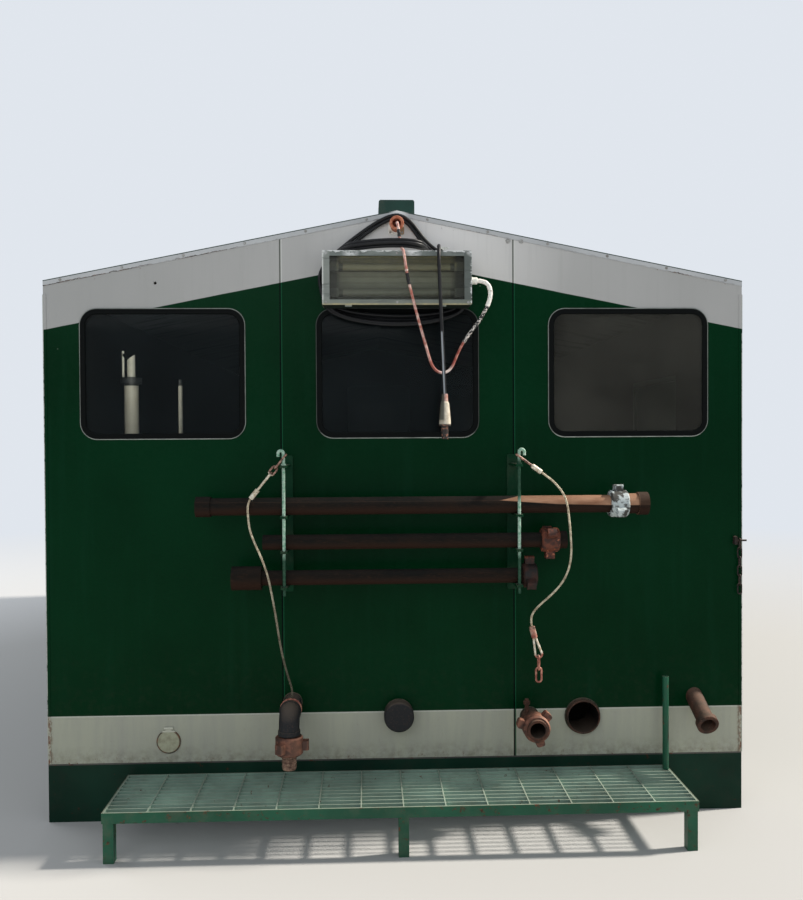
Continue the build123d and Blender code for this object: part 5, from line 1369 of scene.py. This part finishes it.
def merged(meshes):
    whole = bmesh.new()
    for mesh in meshes:
        whole.from_mesh(mesh)
    result = meshes[0].copy()
    whole.to_mesh(result)
    whole.free()
    return result


screwLook = {
    "Head Radius": 0.0045,
    "Head Height": 0.0034,
    "Washer Radius": 0.0078,
    "Washer Height": 0.0012,
    "Seed": 5,
}


# Hexagon heads on washers, each turned by chance.
def screwTree():
    tree = Tree("screws", screwLook)
    headMiddle = tree.math("MULTIPLY_ADD", tree.size("Head Height"), 0.5, tree.size("Washer Height"))
    head = tree.lifted(tree.cylinder(6, "Head Radius", "Head Height"), headMiddle)
    washerMiddle = tree.math("MULTIPLY", tree.size("Washer Height"), 0.5)
    washer = tree.lifted(tree.cylinder(12, "Washer Radius", "Washer Height"), washerMiddle)
    both = tree.add("GeometryNodeJoinGeometry", {"Geometry": head})
    tree.group.links.new(washer, both.node.inputs[0])
    inputs = {"Min": (0.0, 0.0, 0.0), "Max": (0.0, 0.0, 6.28), "Seed": tree.size("Seed")}
    chance = tree.add("FunctionNodeRandomValue", inputs, data_type="FLOAT_VECTOR")
    turned = tree.add("GeometryNodeRotateInstances", {"Instances": tree.placed(both), "Rotation": chance})
    return tree.close(turned, extras["screw"].material)


beadLook = {"Width": 0.849, "Height": 0.676, "Corner": 0.0865, "Thickness": 0.0026, "Corner Steps": 9}


# A pale bead round the outside of a window's rubber, standing in for its lit edge as a painted highlight.
def beadTree():
    tree = Tree("windowBeadHighlight", beadLook)
    inputs = {"Width": tree.size("Width"), "Height": tree.size("Height")}
    outline = tree.add("GeometryNodeCurvePrimitiveQuadrilateral", inputs)
    inputs = {"Curve": outline, "Count": tree.size("Corner Steps"), "Radius": tree.size("Corner")}
    rounded = tree.add("GeometryNodeFilletCurve", inputs, mode="POLY")
    return tree.close(tree.placed(tree.swept(rounded, "Thickness")), extras["bead"].material)


weldLook = {"Reach": 0.05, "Thickness": 0.0045, "Ripple": 0.22, "Turn": 1.7, "Steps": 96}


# A rippled weld bead round a pipe where it leaves the wall.
def weldTree():
    tree = Tree("weldBead", weldLook)
    inputs = {"Resolution": tree.size("Steps"), "Radius": tree.size("Reach")}
    ring = tree.add("GeometryNodeCurvePrimitiveCircle", inputs)
    turn = tree.math("MULTIPLY", tree.add("GeometryNodeInputIndex"), tree.size("Turn"))
    swell = tree.math("ADD", tree.math("MULTIPLY", tree.math("SINE", turn), tree.size("Ripple")), 1.0)
    rippled = tree.add("GeometryNodeSetCurveRadius", {"Curve": ring, "Radius": swell})
    return tree.close(tree.placed(tree.swept(rippled, "Thickness")), extras["weld"].material)


# Each row of screws has where it starts, where it ends and its spacing, in metres
fixingLook = {
    "battens": (0.14, 1.78, 0.27),
    "battenLift": 0.005,
    "eaves": (-3.56, 3.56, 0.4064),
    "eaveAt": 1.806,
    "cap": (-3.5, 3.5, 0.4064),
    "capAt": 0.102,
    "capLift": 0.0032,
    "rakes": (0.16, 1.74, 0.3),
    "rakeDrop": 0.012,
    "trimLift": 0.0025,
    "lampInset": (0.018, 0.013),
    "nipple": (-0.004, 3.095),
    "nippleReach": 0.031,
    "nippleLift": 0.006,
    "bandBolts": ((583, 2717), (652, 2717)),
}
boltSizes = {"Head Radius": 0.009, "Head Height": 0.006, "Washer Radius": 0.014, "Washer Height": 0.002}
lampSizes = {"Head Radius": 0.0035, "Head Height": 0.0024, "Washer Radius": 0.006, "Washer Height": 0.001}
slopeAngle = atan(slope)
forwards = Vector((0, -1, 0))


def stepsBetween(first, last, gap):
    count = max(1, round((last - first) / gap))
    return [first + (last - first) * step / count for step in range(count + 1)]


# A place on the roof and the way it faces there.
def onRoof(across, along, lift):
    side = 1 if across > 0 else -1
    out = Vector((side * sin(slopeAngle), 0, cos(slopeAngle)))
    return (Vector((across, along, shell["ridge"] - abs(across) * slope)) + out * lift, out)


# Along the battens, the eaves, the ridge cap and the rakes, on both slopes.
def sheetFixings():
    places = []
    for side in (-1, 1):
        for across in stepsBetween(*fixingLook["battens"]):
            for sheet in range(-2, 3):
                places.append(onRoof(side * across, sheet * shell["sheet"], fixingLook["battenLift"]))
        for along in stepsBetween(*fixingLook["eaves"]):
            places.append(onRoof(side * fixingLook["eaveAt"], along, fixingLook["trimLift"]))
        for along in stepsBetween(*fixingLook["cap"]):
            places.append(onRoof(side * fixingLook["capAt"], along, fixingLook["capLift"]))
        for end in (-1, 1):
            face = end * (shell["halfLength"] + fixingLook["trimLift"])
            for across in stepsBetween(*fixingLook["rakes"]):
                up = shell["ridge"] - across * slope - fixingLook["rakeDrop"]
                places.append((Vector((side * across, face, up)), Vector((0, end, 0))))
    return places


# Round the lamp's front and at the corners of the nipple's plate.
def lampFixings():
    inset, rise = fixingLook["lampInset"]
    places = []
    for across in (lampPlace["left"] + inset, lampPlace["middle"], lampPlace["right"] - inset):
        for up in (lampPlace["foot"] + rise, lampPlace["top"] - rise):
            places.append((Vector((across, lampPlace["front"], up)), forwards))
    middle, height = fixingLook["nipple"]
    reach = fixingLook["nippleReach"]
    face = -shell["halfLength"] - fixingLook["nippleLift"]
    for up in (height - reach, height + reach):
        for across in (middle - reach, middle + reach):
            places.append((Vector((across, face, up)), forwards))
    return places


screws = screwTree()
pieceOf("sheetScrews", screws.build("sheetScrews", sheetFixings()))
pieceOf("lampScrews", screws.build("lampScrews", lampFixings(), lampSizes))
wallBolts = [(Vector(place(across, 0, up)), forwards) for across, up in fixingLook["bandBolts"]]
pieceOf("bandBolts", screws.build("bandBolts", wallBolts, boltSizes))

beadPlace = {"up": 2.3305, "lift": 0.003}
windowSpots = [
    (Vector((across, end * (shell["halfLength"] + beadPlace["lift"]), beadPlace["up"])), Vector((0, end, 0)))
    for end in (-1, 1) for across in (-shell["sheet"], 0.0, shell["sheet"])
]
pieceOf("windowBeads", beadTree().build("windowBeads", windowSpots))

# Across, up and reach of each weld bead
weldSpots = [(688, 209, 0.047), (971, 207, 0.0915), (-5, 236, 0.0725), (-560, 305, 0.047)]
welds = weldTree()
weldMeshes = [
    welds.build("weld", [(Vector(place(across, 0.5, up)), forwards)], {"Reach": reach})
    for across, up, reach in weldSpots
]
pieceOf("weldBeads", merged(weldMeshes))
print("stage: screws, window beads and welds")

# The outline and the depth are in millimetres too
hookLook = {
    "at": (208, 2627),
    "depth": (127, 130.5),
    "edge": 0.0005,
    "outline": [
        (21, -0.4), (31, -0.4), (31, 18), (36, 21.5), (47, 22), (49.5, 26), (47.5, 31),
        (40, 32.5), (14, 32.5), (10.5, 30), (10.5, 25), (14, 22), (18, 21), (21, 17),
    ],
}


# Flat pale hook that stands on the lamp's top beside the drop and keeps it from sliding.
def leadHook():
    across, up = hookLook["at"]
    outline = hookLook["outline"]
    count = len(outline)
    vertices = [place(across + x, depth, up + z) for depth in hookLook["depth"] for x, z in outline]
    faces = [tuple(range(count, 2 * count)), tuple(reversed(range(count)))]
    faces += [(i, (i + 1) % count, (i + 1) % count + count, i + count) for i in range(count)]
    piece = meshPiece("leadHook", vertices, faces, extras["hook"].material, smooth=False)
    shape = bmesh.new()
    shape.from_mesh(piece.data)
    bmesh.ops.recalc_face_normals(shape, faces=shape.faces)
    bmesh.ops.bevel(shape, geom=shape.edges[:], offset=hookLook["edge"], segments=1, affect="EDGES")
    shape.to_mesh(piece.data)
    shape.free()


reliefLook = {
    "long": 0.038,
    "thick": 0.0155,
    "thin": 0.0105,
    "ribs": 5,
    "ribShare": 0.55,
    "ribRise": 0.0011,
    "step": 0.0016,
    "sides": 20,
}


# Tapered and ribbed strain relief where the long lead leaves the wall box.
def strainRelief():
    start = Vector(coiledRoute[0])
    line = evenSteps([start, start - Vector((reliefLook["long"], 0, 0))], reliefLook["step"])

    def thickness(run, angle):
        share = run / reliefLook["long"]
        onRib = (share * reliefLook["ribs"]) % 1.0 < reliefLook["ribShare"]
        taper = (reliefLook["thin"] - reliefLook["thick"]) * share
        return reliefLook["thick"] + taper + (reliefLook["ribRise"] if onRib else 0)

    vertices, faces = [], []
    addTube(vertices, faces, ringsAlong(line), thickness, reliefLook["sides"])
    meshPiece("powerRelief", vertices, faces, finishes["power_cord"].material)


leadHook()
strainRelief()
print("stage: hook and strain relief")

# Floor, light and camera
stageLook = {
    "floorReach": 300.0,
    "floorColour": (0.46, 0.46, 0.45),
    "air": (0.88, 0.93, 1.0),
    "airStrength": 0.55,
    "airSeen": 0.85,
    "fadeFrom": 5.0,
    "fadeTo": 16.0,
}


# A floor that fades into the air round it.
def studioFloor():
    reach = stageLook["floorReach"]
    mesh = bpy.data.meshes.new("studioFloor")
    corners = [(-reach, -reach, 0), (reach, -reach, 0), (reach, reach, 0), (-reach, reach, 0)]
    mesh.from_pydata(corners, [], [(0, 1, 2, 3)])
    floor = bpy.data.objects.new("studioFloor", mesh)
    scene.collection.objects.link(floor)
    finish = Finish("studioFloor", stageLook["floorColour"], 0.9, gloss=0.1)
    glow = finish.add("ShaderNodeEmission", {"Color": stageLook["air"], "Strength": stageLook["airSeen"]})
    middle = (stageLook["fadeFrom"] + stageLook["fadeTo"]) / 2
    soft = (stageLook["fadeTo"] - stageLook["fadeFrom"]) / 2
    away = finish.minus(1.0, finish.near((0, -3, 0), middle, soft))
    faded = overlaid(finish, away, finish.shader, glow)
    finish.feed(finish.nodes["Material Output"].inputs["Surface"], faded.outputs[0])
    mesh.materials.append(finish.material)
    return floor


studioFloor()

world = bpy.data.worlds.new("studioAir")
scene.world = world
world.use_nodes = True
air = world.node_tree.nodes["Background"]
air.inputs["Color"].default_value = (*stageLook["air"], 1)
lightPath = world.node_tree.nodes.new("ShaderNodeLightPath")
airLevel = world.node_tree.nodes.new("ShaderNodeMapRange")
airLevel.inputs["To Min"].default_value = stageLook["airStrength"]
airLevel.inputs["To Max"].default_value = stageLook["airSeen"]
world.node_tree.links.new(lightPath.outputs["Is Camera Ray"], airLevel.inputs["Value"])
world.node_tree.links.new(airLevel.outputs[0], air.inputs["Strength"])

sunLook = {
    "height": radians(40),
    "behind": radians(8),
    "strength": 6.0,
    "spread": radians(5),
    "colour": (1.0, 0.93, 0.84),
}
# Each with where it stands, where it aims, its size, power and colour
softLights = {
    "frontFill": ((-3.0, -13.0, 6.0), (0, -3.6, 1.4), (8, 5), 150, (0.95, 0.97, 1.0)),
    "insideGlow": ((-1.42, -3.5, 2.36), (-1.42, -3.0, 2.36), (0.3, 0.4), 1.5, (1.0, 0.97, 0.9)),
    "leftFill": ((-11.0, 3.0, 6.0), (0, 0, 1.4), (8, 6), 420, (0.93, 0.96, 1.0)),
}


# A light that stands at a spot and shines along a way.
def light(name, kind, spot, way, power, colour):
    data = bpy.data.lights.new(name, kind)
    data.energy = power
    data.color = colour
    lamp = bpy.data.objects.new(name, data)
    scene.collection.objects.link(lamp)
    lamp.location = spot
    lamp.rotation_euler = way.to_track_quat("-Z", "Y").to_euler()
    return data


fromSun = -Vector((
    cos(sunLook["height"]) * cos(sunLook["behind"]),
    cos(sunLook["height"]) * sin(sunLook["behind"]),
    sin(sunLook["height"]),
))
sun = light("sun", "SUN", (0, 0, 0), fromSun, sunLook["strength"], sunLook["colour"])
sun.angle = sunLook["spread"]
for name, (spot, aim, size, power, colour) in softLights.items():
    area = light(name, "AREA", spot, Vector(aim) - Vector(spot), power, colour)
    area.shape = "RECTANGLE"
    area.size, area.size_y = size

cameraLook = {
    "spot": (-0.1708, -8.5576, 2.0122),
    "yaw": radians(2.20),
    "pitch": radians(-0.98),
    "roll": -0.0055,
    "lens": 37.39,
    "sensor": 36,
}
yaw, pitch, roll = cameraLook["yaw"], cameraLook["pitch"], cameraLook["roll"]
forward = Vector((sin(yaw) * cos(pitch), cos(yaw) * cos(pitch), sin(pitch)))
right = Vector((cos(yaw), -sin(yaw), 0))
up = right.cross(forward)
turnedRight = right * cos(roll) + up * sin(roll)
turnedUp = up * cos(roll) - right * sin(roll)
cameraData = bpy.data.cameras.new("photoCamera")
cameraData.lens = cameraLook["lens"]
cameraData.sensor_width = cameraLook["sensor"]
camera = bpy.data.objects.new("photoCamera", cameraData)
scene.collection.objects.link(camera)
camera.matrix_world = Matrix((
    (turnedRight.x, turnedUp.x, -forward.x, cameraLook["spot"][0]),
    (turnedRight.y, turnedUp.y, -forward.y, cameraLook["spot"][1]),
    (turnedRight.z, turnedUp.z, -forward.z, cameraLook["spot"][2]),
    (0, 0, 0, 1),
))
scene.camera = camera
scene.view_settings.view_transform = "Standard"
scene.view_settings.look = "None"
print("stage: floor, light and camera")

bpy.context.view_layer.update()
